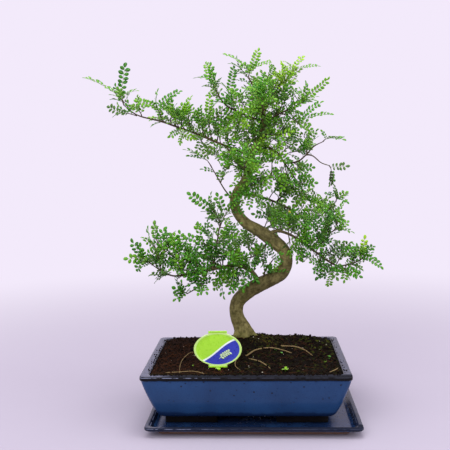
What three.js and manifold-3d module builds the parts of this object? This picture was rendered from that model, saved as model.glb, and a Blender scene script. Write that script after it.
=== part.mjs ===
// Japanese pepper bonsai in its glazed pot, standing on its saucer.
// Millimetres, +Z up. The origin is on the ground under the middle of the pot,
// and +Y points away from the viewer.
import * as THREE from 'three';
import { mergeVertices } from 'three/addons/utils/BufferGeometryUtils.js';
import Module from 'manifold-3d';

const wasm = await Module();
wasm.setup();

// Driving dimensions

const GAP = 0.3;
const HOLE_CLEARANCE = 0.6;
const TOLERANCE = 0.04;
const TREE_AXIS = { x: 20, y: 60 };

const POT = {
  length: 360, width: 272, top: 105, underside: 25, cornerRadius: 9, cornerSteps: 2,
  lip: 14, floor: 30,
  // height and inset from the rim's outline, from the underside up to the rim
  profile: [
    [25, 33], [27, 30], [31, 25.5], [38, 20], [48, 15.5], [58, 11.8], [70, 7.8], [84, 4], [97, 1.8],
    [97.4, 0],
  ],
  // height and inset of the inner wall, from the rim down to the floor
  inside: [[105, 14], [88, 15.5], [60, 21], [30, 37]],
};
const FOOT = { length: 90, depth: 60, width: 15, bottom: 9, sunk: 2, insetX: 38, insetY: 46 };

const SAUCER = {
  length: 371, width: 283, shift: 12, cornerRadius: 9,
  // height and inset: base, outer wall, rim, inner wall, floor
  profile: [[0, 21], [5, 20], [10.5, 4], [13, 0.6], [18, 0], [18.2, 7.5], [12, 14], [8.7, 17]],
};

const SOIL = {
  edge: 101, columns: 15, rows: 11, blockTop: 140,
  // middle, spread and height of each rise of the surface
  rises: [
    { x: 2, y: 52, spreadX: 60, spreadY: 40, height: 27 },
    { x: 110, y: 112, spreadX: 68, spreadY: 26, height: 12 },
    { x: -122, y: 116, spreadX: 56, spreadY: 22, height: 11 },
    { x: -60, y: -30, spreadX: 38, spreadY: 30, height: 2.5 },
  ],
  // powers by which the rises fade out towards the short and the long walls
  fade: { along: 16, across: 16 },
};

const LABEL = {
  width: 85, height: 58, thickness: 1.2, tabWidth: 33, tabHeight: 3, spikeWidth: 9, spikeLength: 44,
  shoulder: 3, point: 0.8, middle: [-49, -78, 137], lean: 0.1, steps: 9,
};

const SEEDLING = {
  foot: [68, -89, 88], height: 25, stem: 0.8, sides: 6,
  leaves: 4, leafLength: 11, leafWidth: 7, thickness: 0.7, rise: 0.35, turn: 0.5,
  // how far below the head the two pairs of leaves start
  drop: [1, 3],
};

// The trunk and its limbs: points along the middle as x, y, z and radius.
// The first point of a limb lies inside what it grows from.
const TRUNK = [
  [-3, 62, 62, 13], [-3, 62, 100, 19], [-4, 62, 118, 17.5], [-12, 62, 145, 14], [-20, 61, 172, 12.4],
  [-17, 58, 194, 12.8], [3, 54, 215, 14], [26, 51, 228, 14.4], [49, 49, 239, 13.8], [68, 48, 251, 13.2],
  [77, 49, 272, 11.2], [72, 52, 293, 11.4], [56, 56, 309, 12.6], [27, 62, 330, 11.6], [-1, 67, 347, 10.4],
  [-17, 70, 368, 9.8], [-21, 70, 387, 9.6], [-14, 69, 405, 10], [3, 65, 429, 9], [11, 62, 458, 7.6],
  [14, 61, 478, 7], [30, 62, 510, 6.2], [37, 63, 540, 5], [36, 62, 568, 4.2], [29, 61, 592, 3.4],
];
const LIMBS = {
  left_high: [[12, 62, 474, 4], [-10, 58, 484, 3.4], [-48, 50, 499, 3], [-81, 42, 514, 2.7],
    [-121, 36, 529, 2.4], [-154, 34, 541, 2.1], [-199, 34, 554, 1.6], [-223, 36, 572, 1.2]],
  left_low: [[24, 51, 230, 5.5], [11, 46, 254, 4.6], [-21, 30, 269, 4], [-49, 18, 266, 3.6],
    [-71, 8, 265, 3.2], [-114, 0, 256, 2.6], [-135, -4, 256, 2.1], [-155, -8, 266, 1.7],
    [-173, -10, 279, 1.2]],
  left_low_rise: [[-62, 12, 265, 2.4], [-57, 14, 286, 2], [-51, 17, 324, 1.6], [-46, 20, 352, 1.2]],
  left_low_upper: [[-114, 0, 257, 2], [-123, 6, 278, 1.8], [-144, 10, 301, 1.5], [-162, 12, 315, 1.1]],
  left_low_hanging: [[-71, 8, 264, 2], [-78, 0, 245, 1.8], [-93, -8, 232, 1.5], [-107, -14, 224, 1.1]],
  centre_rear: [[44, 60, 314, 2.6], [33, 75, 294, 2.2], [15, 90, 278, 1.9], [-5, 100, 273, 1.6],
    [-25, 108, 284, 1.2]],
  centre_loop: [[32, 50, 232, 2.4], [37, 36, 259, 1.8], [48, 26, 275, 1.2]],
  right_low: [[40, 60, 322, 4.4], [60, 52, 331, 3.8], [81, 44, 326, 3.4], [98, 38, 317, 3.1],
    [131, 28, 293, 2.7], [156, 20, 275, 2.3], [172, 16, 268, 2], [189, 14, 271, 1.7],
    [211, 12, 278, 1.2]],
  right_low_rise: [[104, 37, 312, 2], [126, 30, 316, 1.8], [149, 20, 324, 1.5], [170, 12, 340, 1.1]],
  right_middle: [[-15, 69, 400, 3.6], [5, 76, 401, 3.2], [45, 92, 389, 2.8], [85, 102, 370, 2.4],
    [120, 104, 348, 2], [149, 100, 357, 1.6], [176, 96, 382, 1.1]],
  right_high: [[23, 61, 497, 3.2], [42, 66, 491, 2.8], [62, 72, 480, 2.5], [77, 78, 458, 2.1],
    [92, 82, 436, 1.8], [114, 86, 403, 1.2]],
  right_arm: [[76, 78, 459, 2], [101, 66, 462, 1.9], [117, 56, 475, 1.7], [131, 49, 490, 1.5],
    [147, 44, 498, 1.1]],
  right_droop: [[117, 56, 475, 1.6], [129, 60, 472, 1.5], [145, 66, 459, 1.3], [161, 70, 453, 1.1]],
  left_middle: [[5, 63, 444, 2.4], [-8, 72, 451, 2.1], [-23, 82, 457, 1.8], [-48, 96, 471, 1.2]],
  left_thin: [[-22, 70, 387, 2], [-40, 50, 414, 1.7], [-51, 44, 434, 1.4], [-61, 40, 453, 1.1]],
  upper_left: [[36, 63, 536, 3], [16, 64, 546, 2.6], [-7, 62, 556, 2.3], [-32, 58, 569, 2],
    [-43, 55, 582, 1.7], [-55, 52, 608, 1.2]],
  apex_left: [[29, 61, 590, 2.4], [19, 60, 603, 1.9], [10, 58, 622, 1.2]],
  apex_right: [[37, 62, 558, 2.8], [50, 70, 579, 2.3], [64, 76, 599, 1.8], [87, 81, 625, 1.2]],
  upper_right: [[36, 63, 530, 3], [55, 54, 545, 2.4], [79, 44, 557, 1.8], [101, 36, 565, 1.2]],
  back_high: [[18, 62, 486, 3.2], [24, 96, 492, 2.6], [32, 132, 496, 1.9], [36, 156, 505, 1.2]],
  back_top: [[36, 62, 556, 2.4], [32, 92, 566, 2], [26, 122, 580, 1.5], [24, 140, 592, 1.1]],
  back_low: [[30, 61, 328, 3], [42, 92, 334, 2.4], [54, 124, 338, 1.8], [60, 146, 346, 1.2]],
  front_high: [[8, 62, 446, 2.8], [2, 36, 448, 2.3], [0, 8, 452, 1.7], [4, -14, 462, 1.2]],
  front_top: [[36, 63, 548, 2.2], [36, 34, 554, 1.8], [36, 8, 562, 1.4], [34, -10, 572, 1.1]],
};

// Roots that come out of the soil beside the trunk and go back into it.
const ROOTS = [
  [[-3, 60, 92, 6], [-8, 22, 102, 3], [0, -14, 107.5, 2], [17, 0, 112.5, 1.8], [46, 11, 114, 1.6],
    [69, 10, 110.5, 1.4], [92, 2, 104, 1]],
  [[2, 60, 92, 6], [44, 40, 110, 3], [73, 29, 113.5, 1.8], [94, 32, 111, 1.7], [110, 22, 107, 1.5],
    [124, 0, 101, 1]],
  [[-6, 56, 92, 5], [-2, 0, 98, 3], [10, -30, 105, 1.8], [24, -40, 104, 1.6], [38, -66, 102.5, 1.3],
    [47, -84, 99, 1]],
];

// Leafy shoots: the limb each grows from, where along it (counted in the limb's
// points), the twig's tip, and the ends of the leaves that reach furthest. A 1
// after an end marks a leaf that lies level, with its edge to the viewer.
const SHOOTS = {
  left_high_tip: ['left_high', 7, [-230, 36, 588],
    [[-299, 30, 625, 1], [-219, 40, 649], [-195, 20, 597]]],
  left_high_outer: ['left_high', 4.9, [-160, 14, 568], [[-155, 8, 595], [-194, 0, 577], [-112, 20, 595]]],
  left_high_under: ['left_high', 4.5, [-137, 66, 558], [[-152, 80, 578]]],
  left_high_mid: ['left_high', 3.9, [-111, 20, 553], [[-101, 0, 569]]],
  left_high_lower: ['left_high', 3.1, [-79, 66, 498], [[-100, 74, 514]]],
  left_high_inner: ['left_high', 2.4, [-65, 16, 548], [[-60, 6, 583]]],
  left_high_back: ['left_high', 2.1, [-46, 100, 533], []],
  left_high_front: ['left_high', 1.7, [-20, 6, 471], []],
  left_low_tip: ['left_low', 8, [-187, -16, 291], [[-216, -22, 291], [-205, -20, 323], [-200, -6, 268]]],
  left_low_outer: ['left_low', 7, [-163, -38, 319], [[-171, -48, 349], [-142, -40, 346]]],
  left_low_rear: ['left_low_upper', 3, [-169, 28, 321], [[-173, 50, 344]]],
  left_low_top: ['left_low', 5.2, [-121, -30, 303], [[-132, -38, 335]]],
  left_rise_mid: ['left_low_rise', 1.4, [-79, -6, 316], [[-85, -14, 352]]],
  left_rise_tip: ['left_low_rise', 3, [-61, 14, 377], [[-103, 0, 408], [-77, -6, 395]]],
  left_rise_back: ['left_low_rise', 2.5, [-34, 48, 371], [[-52, 40, 402]]],
  left_low_front: ['left_low', 4.4, [-86, -50, 286], []],
  left_low_under: ['left_low_hanging', 1.4, [-77, -28, 242], [[-79, -44, 231]]],
  left_low_hang: ['left_low_hanging', 3, [-113, -20, 228], [[-127, -44, 240], [-119, -30, 217]]],
  left_low_heart: ['left_low', 2.8, [-38, -14, 300], []],
  centre_high: ['centre_rear', 2.3, [2, 126, 310], []],
  centre_back: ['centre_rear', 4, [-44, 134, 296], []],
  centre_loop: ['centre_loop', 2, [54, 10, 284], [[80, -14, 296]]],
  right_low_tip: ['right_low', 8, [211, 8, 293],
    [[249, -4, 266], [218, 0, 322], [237, 16, 303]]],
  right_low_outer: ['right_low', 6.9, [179, -10, 263], [[207, -30, 255], [207, -2, 261]]],
  right_low_under: ['right_low', 5.2, [161, 44, 252], [[156, 54, 224], [135, 30, 243]]],
  right_low_rear: ['right_low', 4.4, [170, 70, 288], []],
  right_rise_tip: ['right_low_rise', 3, [165, 2, 358], [[183, -14, 390], [175, -20, 355]]],
  right_rise_front: ['right_low_rise', 1.5, [130, -18, 338], []],
  right_low_inner: ['right_low', 2.6, [104, 72, 291], [[128, 88, 265]]],
  right_mid_inner: ['right_middle', 2.2, [44, 62, 356], [[52, 40, 384], [16, 50, 364]]],
  right_mid_back: ['right_middle', 3.4, [98, 150, 330], []],
  right_mid_tip: ['right_middle', 6, [178, 92, 392], [[196, 84, 382], [158, 110, 399]]],
  right_mid_upper: ['right_middle', 4.8, [146, 134, 380], []],
  right_high_inner: ['right_high', 1.6, [50, 26, 436], []],
  right_high_tip: ['right_high', 5, [121, 82, 386], []],
  right_arm_tip: ['right_arm', 4, [152, 38, 503], [[183, 14, 500, 1], [145, 36, 516]]],
  right_arm_mid: ['right_arm', 2, [122, 84, 499], []],
  right_droop: ['right_droop', 3, [165, 74, 446], [[167, 74, 420]]],
  left_mid_tip: ['left_middle', 3, [-61, 112, 481], [[-76, 130, 498]]],
  left_thin_tip: ['left_thin', 3, [-70, 34, 468], [[-111, 20, 488, 1], [-104, 24, 476, 1]]],
  left_up_tip: ['upper_left', 5, [-60, 50, 619], [[-89, 46, 621, 1], [-60, 46, 645]]],
  left_up_back: ['upper_left', 3.2, [-29, 90, 597], [[-18, 96, 647]]],
  left_up_front: ['upper_left', 1.8, [-8, 18, 533], []],
  apex_tip: ['apex_left', 2, [13, 56, 634], [[30, 54, 672], [-35, 50, 664, 1], [52, 44, 646]]],
  apex_right_tip: ['apex_right', 3, [96, 84, 636], [[114, 90, 660], [145, 80, 641, 1], [79, 70, 649]]],
  apex_right_front: ['apex_right', 2, [74, 38, 612], []],
  right_up_tip: ['upper_right', 3, [111, 28, 578], [[157, 16, 613]]],
  right_up_low: ['upper_right', 1.6, [102, 20, 529], [[164, 10, 546, 1], [144, 0, 569, 1]]],
  back_high_tip: ['back_high', 3, [38, 170, 520], []],
  back_top_tip: ['back_top', 3, [22, 152, 606], []],
  back_low_tip: ['back_low', 3, [66, 160, 358], []],
  front_high_tip: ['front_high', 3, [8, -30, 470], []],
  front_top_tip: ['front_top', 3, [34, -22, 586], []],
};
const NEW_GROWTH = [
  'apex_tip', 'apex_right_tip', 'apex_right_front', 'left_up_tip', 'right_up_tip', 'left_high_tip',
];

const TWIG = {
  sides: 4, rootRadius: 1.3, tipRadius: 0.95, lift: 0.1, steps: 3,
  // how the twig is drawn back until its root just clears the bark
  longestBare: 0.6, bareMargin: 3, seatTries: 8, seatReach: 20,
};
const LEAF = {
  perShoot: 3, shortest: 29, longest: 38, halfWidth: 9.5, ribHalf: 0.5, thickness: 0.75, petiole: 0.16,
  arch: 0.07, fold: 1.2, lean: 0.4, terminalFlare: 2.6, fullWidthFrom: 42, widest: 1.1,
  pairs: 2, longPairs: 3, longFrom: 50,
  // places along the twig: the given ends near its tip, the others over most of it
  endFrom: 0.84, endStep: 0.05, restFrom: 0.35, restOver: 0.63,
  // angle to the twig at its root, how much less at its tip, and the lift of every leaf
  spread: 1.25, spreadLoss: 0.7, rise: 0.2,
  // weights of the directions that the upper side looks in
  looksUp: 0.9, looksOut: 0.5, looksToViewer: 1.5, looksTurned: 0.8, levelTurned: 0.15,
  turnTries: 15, turn: 0.35, overlap: 0.5, lengthSeed: 40, turnSeed: 500,
};
const GOLDEN_TURN = 2.39996;
const GOLDEN_STEP = 0.618034;

const COLOURS = {
  glaze: 0x1d3f63, clay: 0x4a3324, soil: 0x2b1e16, bark: 0x857a5a, leaf: 0x3f8a26, newLeaf: 0x8cc63a,
  label: 0x9ccb3b, seedling: 0x6fae3c,
};

// Helpers

const vec = ([x, y, z]) => new THREE.Vector3(x, y, z);
const UP = new THREE.Vector3(0, 0, 1);

// The same number between 0 and 1 each time for the same n.
function draw(n) {
  const value = Math.sin(n * 12.9898 + 78.233) * 43758.5453;
  return value - Math.floor(value);
}

function geometryOf(points, triangles) {
  const geometry = new THREE.BufferGeometry().setFromPoints(points);
  geometry.setIndex(triangles.flat());
  return geometry;
}

function solidFrom(geometry) {
  const bare = geometry.clone();
  bare.deleteAttribute('normal');
  bare.deleteAttribute('uv');
  const merged = mergeVertices(bare, 1e-4);
  return new wasm.Manifold(new wasm.Mesh({
    numProp: 3,
    vertProperties: Float32Array.from(merged.attributes.position.array),
    triVerts: Uint32Array.from(merged.index.array),
  }));
}

function geometryFrom(solid) {
  const mesh = solid.getMesh();
  const geometry = new THREE.BufferGeometry();
  geometry.setAttribute('position', new THREE.BufferAttribute(Float32Array.from(mesh.vertProperties), 3));
  geometry.setIndex([...mesh.triVerts]);
  return geometry.toNonIndexed();
}

// A closed skin over rings that all have the same number of points, with a flat
// cap on the first and the last.
function loft(rings) {
  const count = rings[0].length;
  const triangles = [];
  for (let level = 0; level + 1 < rings.length; level += 1) {
    for (let i = 0; i < count; i += 1) {
      const next = (i + 1) % count;
      const [a, b] = [level * count + i, level * count + next];
      triangles.push([a, b, b + count], [a, b + count, a + count]);
    }
  }
  const last = (rings.length - 1) * count;
  for (let i = 1; i + 1 < count; i += 1) {
    triangles.push([0, i + 1, i], [last, last + i, last + i + 1]);
  }
  return geometryOf(rings.flat(), triangles);
}

// A rounded rectangle at height z, anticlockwise seen from above.
function roundedRing(length, width, radius, z, steps, shift = 0) {
  const corners = [[1, 1], [-1, 1], [-1, -1], [1, -1]];
  return corners.flatMap(([sx, sy], corner) => Array.from({ length: steps + 1 }, (_, i) => {
    const angle = (corner + i / steps) * Math.PI / 2;
    return new THREE.Vector3(
      shift + sx * (length / 2 - radius) + radius * Math.cos(angle),
      sy * (width / 2 - radius) + radius * Math.sin(angle),
      z,
    );
  }));
}

function insetRing(vessel, [z, inset], clearance = 0) {
  const cut = 2 * (inset + clearance);
  const [length, width] = [vessel.length - cut, vessel.width - cut];
  return roundedRing(length, width, vessel.cornerRadius, z, POT.cornerSteps, vessel.shift);
}

// Evenly spaced points with radii along a smooth curve through the given ones.
function smoothPath(points, steps) {
  const curve = new THREE.CatmullRomCurve3(points.map(vec), false, 'centripetal');
  return Array.from({ length: steps + 1 }, (_, i) => {
    const place = (i / steps) * (points.length - 1);
    const from = Math.min(Math.floor(place), points.length - 2);
    const radius = THREE.MathUtils.lerp(points[from][3], points[from + 1][3], place - from);
    return { at: curve.getPoint(i / steps), radius };
  });
}

// A tube with the path's radii, or one that is larger all round by grow.
function tube(path, sides, grow = 0) {
  const last = path.length - 1;
  const side = new THREE.Vector3(0.3, -1, 0.2);
  const rings = path.map((station, i) => {
    const { radius } = station;
    const along = path[Math.min(i + 1, last)].at.clone().sub(path[Math.max(i - 1, 0)].at).normalize();
    const overrun = i === 0 ? -grow : (i === last ? grow : 0);
    const at = station.at.clone().addScaledVector(along, overrun);
    side.addScaledVector(along, -side.dot(along)).normalize();
    const across = along.clone().cross(side);
    return Array.from({ length: sides }, (_, k) => {
      const angle = (2 * Math.PI * k) / sides;
      return at.clone()
        .addScaledVector(side, (radius + grow) * Math.cos(angle))
        .addScaledVector(across, (radius + grow) * Math.sin(angle));
    });
  });
  return loft(rings);
}

// A sheet of triangles given the same thickness everywhere along one direction.
function slab(points, triangles, downward) {
  const count = points.length;
  const edges = new Set(triangles.flatMap(([a, b, c]) => [`${a} ${b}`, `${b} ${c}`, `${c} ${a}`]));
  const faces = triangles.flatMap(([a, b, c]) => [[a, b, c], [a + count, c + count, b + count]]);
  for (const edge of edges) {
    const [a, b] = edge.split(' ').map(Number);
    if (!edges.has(`${b} ${a}`)) {
      faces.push([a, a + count, b + count], [a, b + count, b]);
    }
  }
  return geometryOf([...points, ...points.map(p => p.clone().add(downward))], faces);
}

const union = solids => wasm.Manifold.union(solids);

// The same solid without the slivers that joining and cutting leave behind.
const tidy = solid => solid.asOriginal().simplify(TOLERANCE);

// Pot, saucer, soil

function potSolid() {
  const rings = [...POT.profile, [POT.top, 0], ...POT.inside].map(level => insetRing(POT, level));
  const feet = [[1, 1], [-1, 1], [-1, -1], [1, -1]].map(([sx, sy]) => {
    const x = POT.length / 2 - FOOT.insetX;
    const y = POT.width / 2 - FOOT.insetY;
    const corner = new THREE.Shape([
      [x, y], [x - FOOT.length, y], [x - FOOT.length, y - FOOT.width], [x - FOOT.width, y - FOOT.width],
      [x - FOOT.width, y - FOOT.depth], [x, y - FOOT.depth],
    ].map(([px, py]) => new THREE.Vector2(px * sx, py * sy)));
    const depth = POT.underside + FOOT.sunk - FOOT.bottom;
    const foot = new THREE.ExtrudeGeometry(corner, { depth, bevelEnabled: false });
    return solidFrom(foot.translate(0, 0, FOOT.bottom));
  });
  return union([solidFrom(loft(rings)), ...feet]);
}

const saucerSolid = () => solidFrom(loft(SAUCER.profile.map(level => insetRing(SAUCER, level))));

function soilHeight(x, y) {
  const along = x / (POT.length / 2 - POT.lip);
  const across = y / (POT.width / 2 - POT.lip);
  const fade = Math.max(0, 1 - along ** SOIL.fade.along) * Math.max(0, 1 - across ** SOIL.fade.across);
  const rise = SOIL.rises.reduce((sum, r) => sum + r.height
    * Math.exp(-((x - r.x) ** 2) / (2 * r.spreadX ** 2) - ((y - r.y) ** 2) / (2 * r.spreadY ** 2)), 0);
  const waves = 0.7 * Math.sin(x / 13 + 1.3 * Math.sin(y / 17)) + 0.6 * Math.sin(y / 11 + x / 23);
  return SOIL.edge + fade * (rise + waves);
}

// A block with the soil's surface on top, trimmed to the inside of the pot.
function soilSolid() {
  const wide = POT.length / 2;
  const deep = POT.width / 2;
  const { columns, rows } = SOIL;
  const points = [];
  for (let j = 0; j <= rows; j += 1) {
    for (let i = 0; i <= columns; i += 1) {
      const x = wide * (2 * i / columns - 1);
      const y = deep * (2 * j / rows - 1);
      points.push(new THREE.Vector3(x, y, soilHeight(x, y)));
    }
  }
  const triangles = [];
  for (let j = 0; j < rows; j += 1) {
    for (let i = 0; i < columns; i += 1) {
      const a = j * (columns + 1) + i;
      const b = a + columns + 1;
      triangles.push([a, a + 1, b + 1], [a, b + 1, b]);
    }
  }
  const block = solidFrom(slab(points, triangles, new THREE.Vector3(0, 0, -POT.top)));
  const floor = [POT.floor + GAP, POT.inside.at(-1)[1]];
  const levels = [floor, ...POT.inside.slice(0, -1).reverse(), [SOIL.blockTop, POT.lip]];
  const inside = solidFrom(loft(levels.map(level => insetRing(POT, level, GAP))));
  return inside.intersect(block);
}

// Trunk, limbs and roots

function woodTubes(grow) {
  const limbs = Object.values(LIMBS).map(points => {
    const sides = points[0][3] > 3 ? 5 : 4;
    return tube(smoothPath(points, points.length - 1), sides, grow);
  });
  const roots = ROOTS.map(points => tube(smoothPath(points, points.length), 4, grow));
  return [tube(smoothPath(TRUNK, 30), 8, grow), ...limbs, ...roots].map(solidFrom);
}

// Leafy shoots

function limbPoint(limb, place) {
  const points = LIMBS[limb];
  const curve = new THREE.CatmullRomCurve3(points.map(vec), false, 'centripetal');
  return curve.getPoint(place / (points.length - 1));
}

// A twig is a bowed line from its limb to its tip; it starts where it just
// clears the bark.
function twigCurve(start, tip) {
  const middle = start.clone().lerp(tip, 0.5);
  middle.z += TWIG.lift * start.distanceTo(tip);
  return new THREE.QuadraticBezierCurve3(start, middle, tip);
}

function twigSolid(curve, from) {
  const path = Array.from({ length: TWIG.steps + 1 }, (_, i) => {
    const place = from + (1 - from) * i / TWIG.steps;
    const radius = THREE.MathUtils.lerp(TWIG.rootRadius, TWIG.tipRadius, place);
    return { at: curve.getPoint(place), radius };
  });
  return solidFrom(tube(path, TWIG.sides));
}

function seatedTwig(curve, wood, limbRadius) {
  const length = curve.getLength();
  let from = Math.min(TWIG.longestBare, TWIG.bareMargin * (limbRadius + 1) / length);
  let twig = twigSolid(curve, from);
  for (let i = 0; i < TWIG.seatTries; i += 1) {
    from -= (twig.minGap(wood, TWIG.seatReach) - GAP) / length;
    twig = twigSolid(curve, from);
  }
  return twig;
}

// Where a leaf starts, which way it points and which way its upper side looks.
function leafFrame(curve, place, given, turn, trunkSide) {
  const end = given && vec(given);
  const level = given && given[3] === 1;
  const root = curve.getPoint(place);
  const along = curve.getTangent(place);
  const sideways = new THREE.Vector3().crossVectors(UP, along).normalize();
  const upward = new THREE.Vector3().crossVectors(along, sideways);
  const radial = sideways.multiplyScalar(Math.cos(turn)).addScaledVector(upward, Math.sin(turn));
  const spread = LEAF.spread - LEAF.spreadLoss * place;
  const pointing = end ? end.clone().sub(root) : along.clone().multiplyScalar(Math.cos(spread))
    .addScaledVector(radial, Math.sin(spread)).addScaledVector(UP, LEAF.rise);
  pointing.normalize();
  const facing = along.clone().multiplyScalar(Math.sin(spread)).addScaledVector(radial, -Math.cos(spread))
    .addScaledVector(UP, LEAF.looksUp).addScaledVector(trunkSide, LEAF.looksOut);
  if (end) {
    const turned = new THREE.Vector3(Math.sin(turn), -LEAF.looksToViewer, Math.cos(turn));
    if (level) {
      facing.copy(UP);
    }
    facing.addScaledVector(turned, level ? LEAF.levelTurned : LEAF.looksTurned);
  }
  facing.addScaledVector(pointing, -facing.dot(pointing)).normalize();
  return { root, pointing, facing };
}

// One feathered leaf: a thin arched blade cut to its rib between the leaflets.
function leafSolid({ root, pointing, facing }, length) {
  const pairs = length > LEAF.longFrom ? LEAF.longPairs : LEAF.pairs;
  const stalk = LEAF.petiole * length;
  const pitch = (length - stalk) / (pairs + 1);
  const across = new THREE.Vector3().crossVectors(facing, pointing);
  const width = LEAF.halfWidth * Math.min(LEAF.widest, length / LEAF.fullWidthFrom);
  const at = (s, w) => root.clone().addScaledVector(pointing, s).addScaledVector(across, w)
    .addScaledVector(facing, 4 * LEAF.arch * s * (length - s) / length + LEAF.fold * Math.abs(w) / width);
  const points = [];
  const triangles = [];
  const stations = [0, ...Array.from({ length: pairs + 1 }, (_, i) => stalk + i * pitch)];
  stations.forEach(s => points.push(at(s, LEAF.ribHalf), at(s, -LEAF.ribHalf)));
  for (let i = 0; i + 1 < stations.length; i += 1) {
    const [left, right] = [2 * i, 2 * i + 1];
    triangles.push([left, right, right + 2], [left, right + 2, left + 2]);
  }
  for (let pair = 0; pair < pairs; pair += 1) {
    const s = stations[pair + 1] + LEAF.lean * pitch;
    const reach = width * (0.85 + 0.15 * Math.sin(Math.PI * (pair + 1) / (pairs + 1)));
    const [left, right] = [2 * pair + 2, 2 * pair + 3];
    const outer = points.length;
    points.push(at(s, reach), at(s + 0.8 * pitch, reach), at(s, -reach), at(s + 0.8 * pitch, -reach));
    triangles.push([left, left + 2, outer + 1], [left, outer + 1, outer]);
    triangles.push([right, outer + 2, outer + 3], [right, outer + 3, right + 2]);
  }
  const [left, right, tip] = [2 * pairs + 2, 2 * pairs + 3, points.length];
  points.push(at(length, LEAF.terminalFlare), at(length, -LEAF.terminalFlare));
  triangles.push([left, right, tip + 1], [left, tip + 1, tip]);
  return solidFrom(slab(points, triangles, facing.clone().multiplyScalar(-LEAF.thickness)));
}

// Obstacles are solids with the name of the node that owns them.
const near = (a, b) => [0, 1, 2].every(i => a.min[i] - GAP < b.max[i] && b.min[i] - GAP < a.max[i]);

function clears(solid, owner, obstacles) {
  const box = solid.boundingBox();
  return obstacles.every(other => other.owner === owner || !near(box, other.solid.boundingBox())
    || solid.minGap(other.solid, GAP) >= GAP);
}

function shootTwig([limb, place, tip], wood) {
  const curve = twigCurve(limbPoint(limb, place), vec(tip));
  return { curve, twig: seatedTwig(curve, wood, LIMBS[limb][Math.floor(place)][3]) };
}

// The leaves of one shoot: those with a given end first, then others spread
// round the twig. A leaf that would touch something is turned until it is clear.
function shootLeaves(name, index, curve, ends, obstacles) {
  const tip = curve.getPoint(1);
  const trunkSide = new THREE.Vector3(tip.x - TREE_AXIS.x, tip.y - TREE_AXIS.y, 0).normalize();
  const leaves = [];
  for (let k = 0; k < Math.max(LEAF.perShoot, ends.length); k += 1) {
    const end = ends[k] && vec(ends[k]);
    const along = end ? LEAF.endFrom + LEAF.endStep * k
      : LEAF.restFrom + LEAF.restOver * ((k + 1) * GOLDEN_STEP % 1);
    const length = THREE.MathUtils.lerp(LEAF.shortest, LEAF.longest, draw(index * LEAF.lengthSeed + k));
    for (let attempt = 0; attempt < LEAF.turnTries; attempt += 1) {
      const swing = LEAF.turn * Math.ceil(attempt / 2) * (attempt % 2 ? 1 : -1);
      const turn = GOLDEN_TURN * k + 2 * Math.PI * draw(index + LEAF.turnSeed) + swing;
      const frame = leafFrame(curve, along, ends[k], turn, trunkSide);
      const leaf = leafSolid(frame, end ? end.distanceTo(frame.root) : length);
      const apart = leaves.every(other => leaf.intersect(other).volume() < LEAF.overlap);
      if (apart && clears(leaf, name, obstacles)) {
        leaves.push(leaf);
        break;
      }
    }
  }
  return leaves;
}

// Label

// The label's plate and its spike in one piece, or the larger space it needs.
function labelSolid(grow = 0) {
  const { width, height, spikeLength, steps } = LABEL;
  const tab = LABEL.tabWidth / 2 + grow;
  const spike = LABEL.spikeWidth / 2 + grow;
  const edge = height / 2 + LABEL.tabHeight + grow;
  const tabAngle = Math.asin(2 * tab / width);
  const arc = (from, to) => Array.from({ length: steps + 1 }, (_, i) => {
    const angle = THREE.MathUtils.lerp(from, to, i / steps);
    return [Math.sin(angle) * (width / 2 + grow), Math.cos(angle) * (height / 2 + grow)];
  });
  const outline = [
    ...arc(tabAngle, Math.PI - tabAngle),
    [tab, -edge], [spike, -edge - LABEL.shoulder], [LABEL.point + grow, -edge - spikeLength],
    [-LABEL.point - grow, -edge - spikeLength], [-spike, -edge - LABEL.shoulder], [-tab, -edge],
    ...arc(Math.PI + tabAngle, 2 * Math.PI - tabAngle),
    [-tab, edge], [tab, edge],
  ];
  const shape = new THREE.Shape(outline.map(([x, y]) => new THREE.Vector2(x, y)));
  const depth = LABEL.thickness + 2 * grow;
  const plate = new THREE.ExtrudeGeometry(shape, { depth, bevelEnabled: false });
  plate.translate(0, 0, -depth / 2);
  return solidFrom(plate.rotateX(Math.PI / 2 - LABEL.lean).translate(...LABEL.middle));
}

// Seedling

// A young plant beside the tree: an upright stem with a cross of small leaves.
function seedlingSolid() {
  const foot = vec(SEEDLING.foot);
  const head = foot.clone().addScaledVector(UP, SEEDLING.height);
  const radius = SEEDLING.stem;
  const stem = solidFrom(tube([{ at: foot, radius }, { at: head, radius }], SEEDLING.sides));
  const leaves = Array.from({ length: SEEDLING.leaves }, (_, k) => {
    const turn = 2 * Math.PI * k / SEEDLING.leaves + SEEDLING.turn;
    const outward = new THREE.Vector3(Math.cos(turn), Math.sin(turn), SEEDLING.rise).normalize();
    const across = new THREE.Vector3(-Math.sin(turn), Math.cos(turn), 0);
    const root = head.clone().addScaledVector(UP, -SEEDLING.drop[k % 2]);
    const at = (s, w) => root.clone().addScaledVector(outward, s * SEEDLING.leafLength)
      .addScaledVector(across, w * SEEDLING.leafWidth / 2);
    const points = [
      at(0, -0.12), at(0.45, -0.9), at(0.8, -0.85), at(1, 0), at(0.8, 0.85), at(0.45, 0.9), at(0, 0.12),
    ];
    const triangles = [[0, 1, 6], [1, 5, 6], [1, 2, 5], [2, 4, 5], [2, 3, 4]];
    return solidFrom(slab(points, triangles, new THREE.Vector3(0, 0, -SEEDLING.thickness)));
  });
  const hole = { at: foot.clone().addScaledVector(UP, -GAP), radius: radius + HOLE_CLEARANCE };
  const space = tube([hole, { ...hole, at: head }], SEEDLING.sides);
  return { plant: union([stem, ...leaves]), hole: solidFrom(space) };
}

// Assembly

const bonsai = new THREE.Group();

function finish(color, roughness) {
  return new THREE.MeshStandardMaterial({ color, roughness, metalness: 0 });
}

function add(name, geometry, material) {
  const mesh = new THREE.Mesh(geometry, material);
  mesh.name = name;
  bonsai.add(mesh);
}

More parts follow.
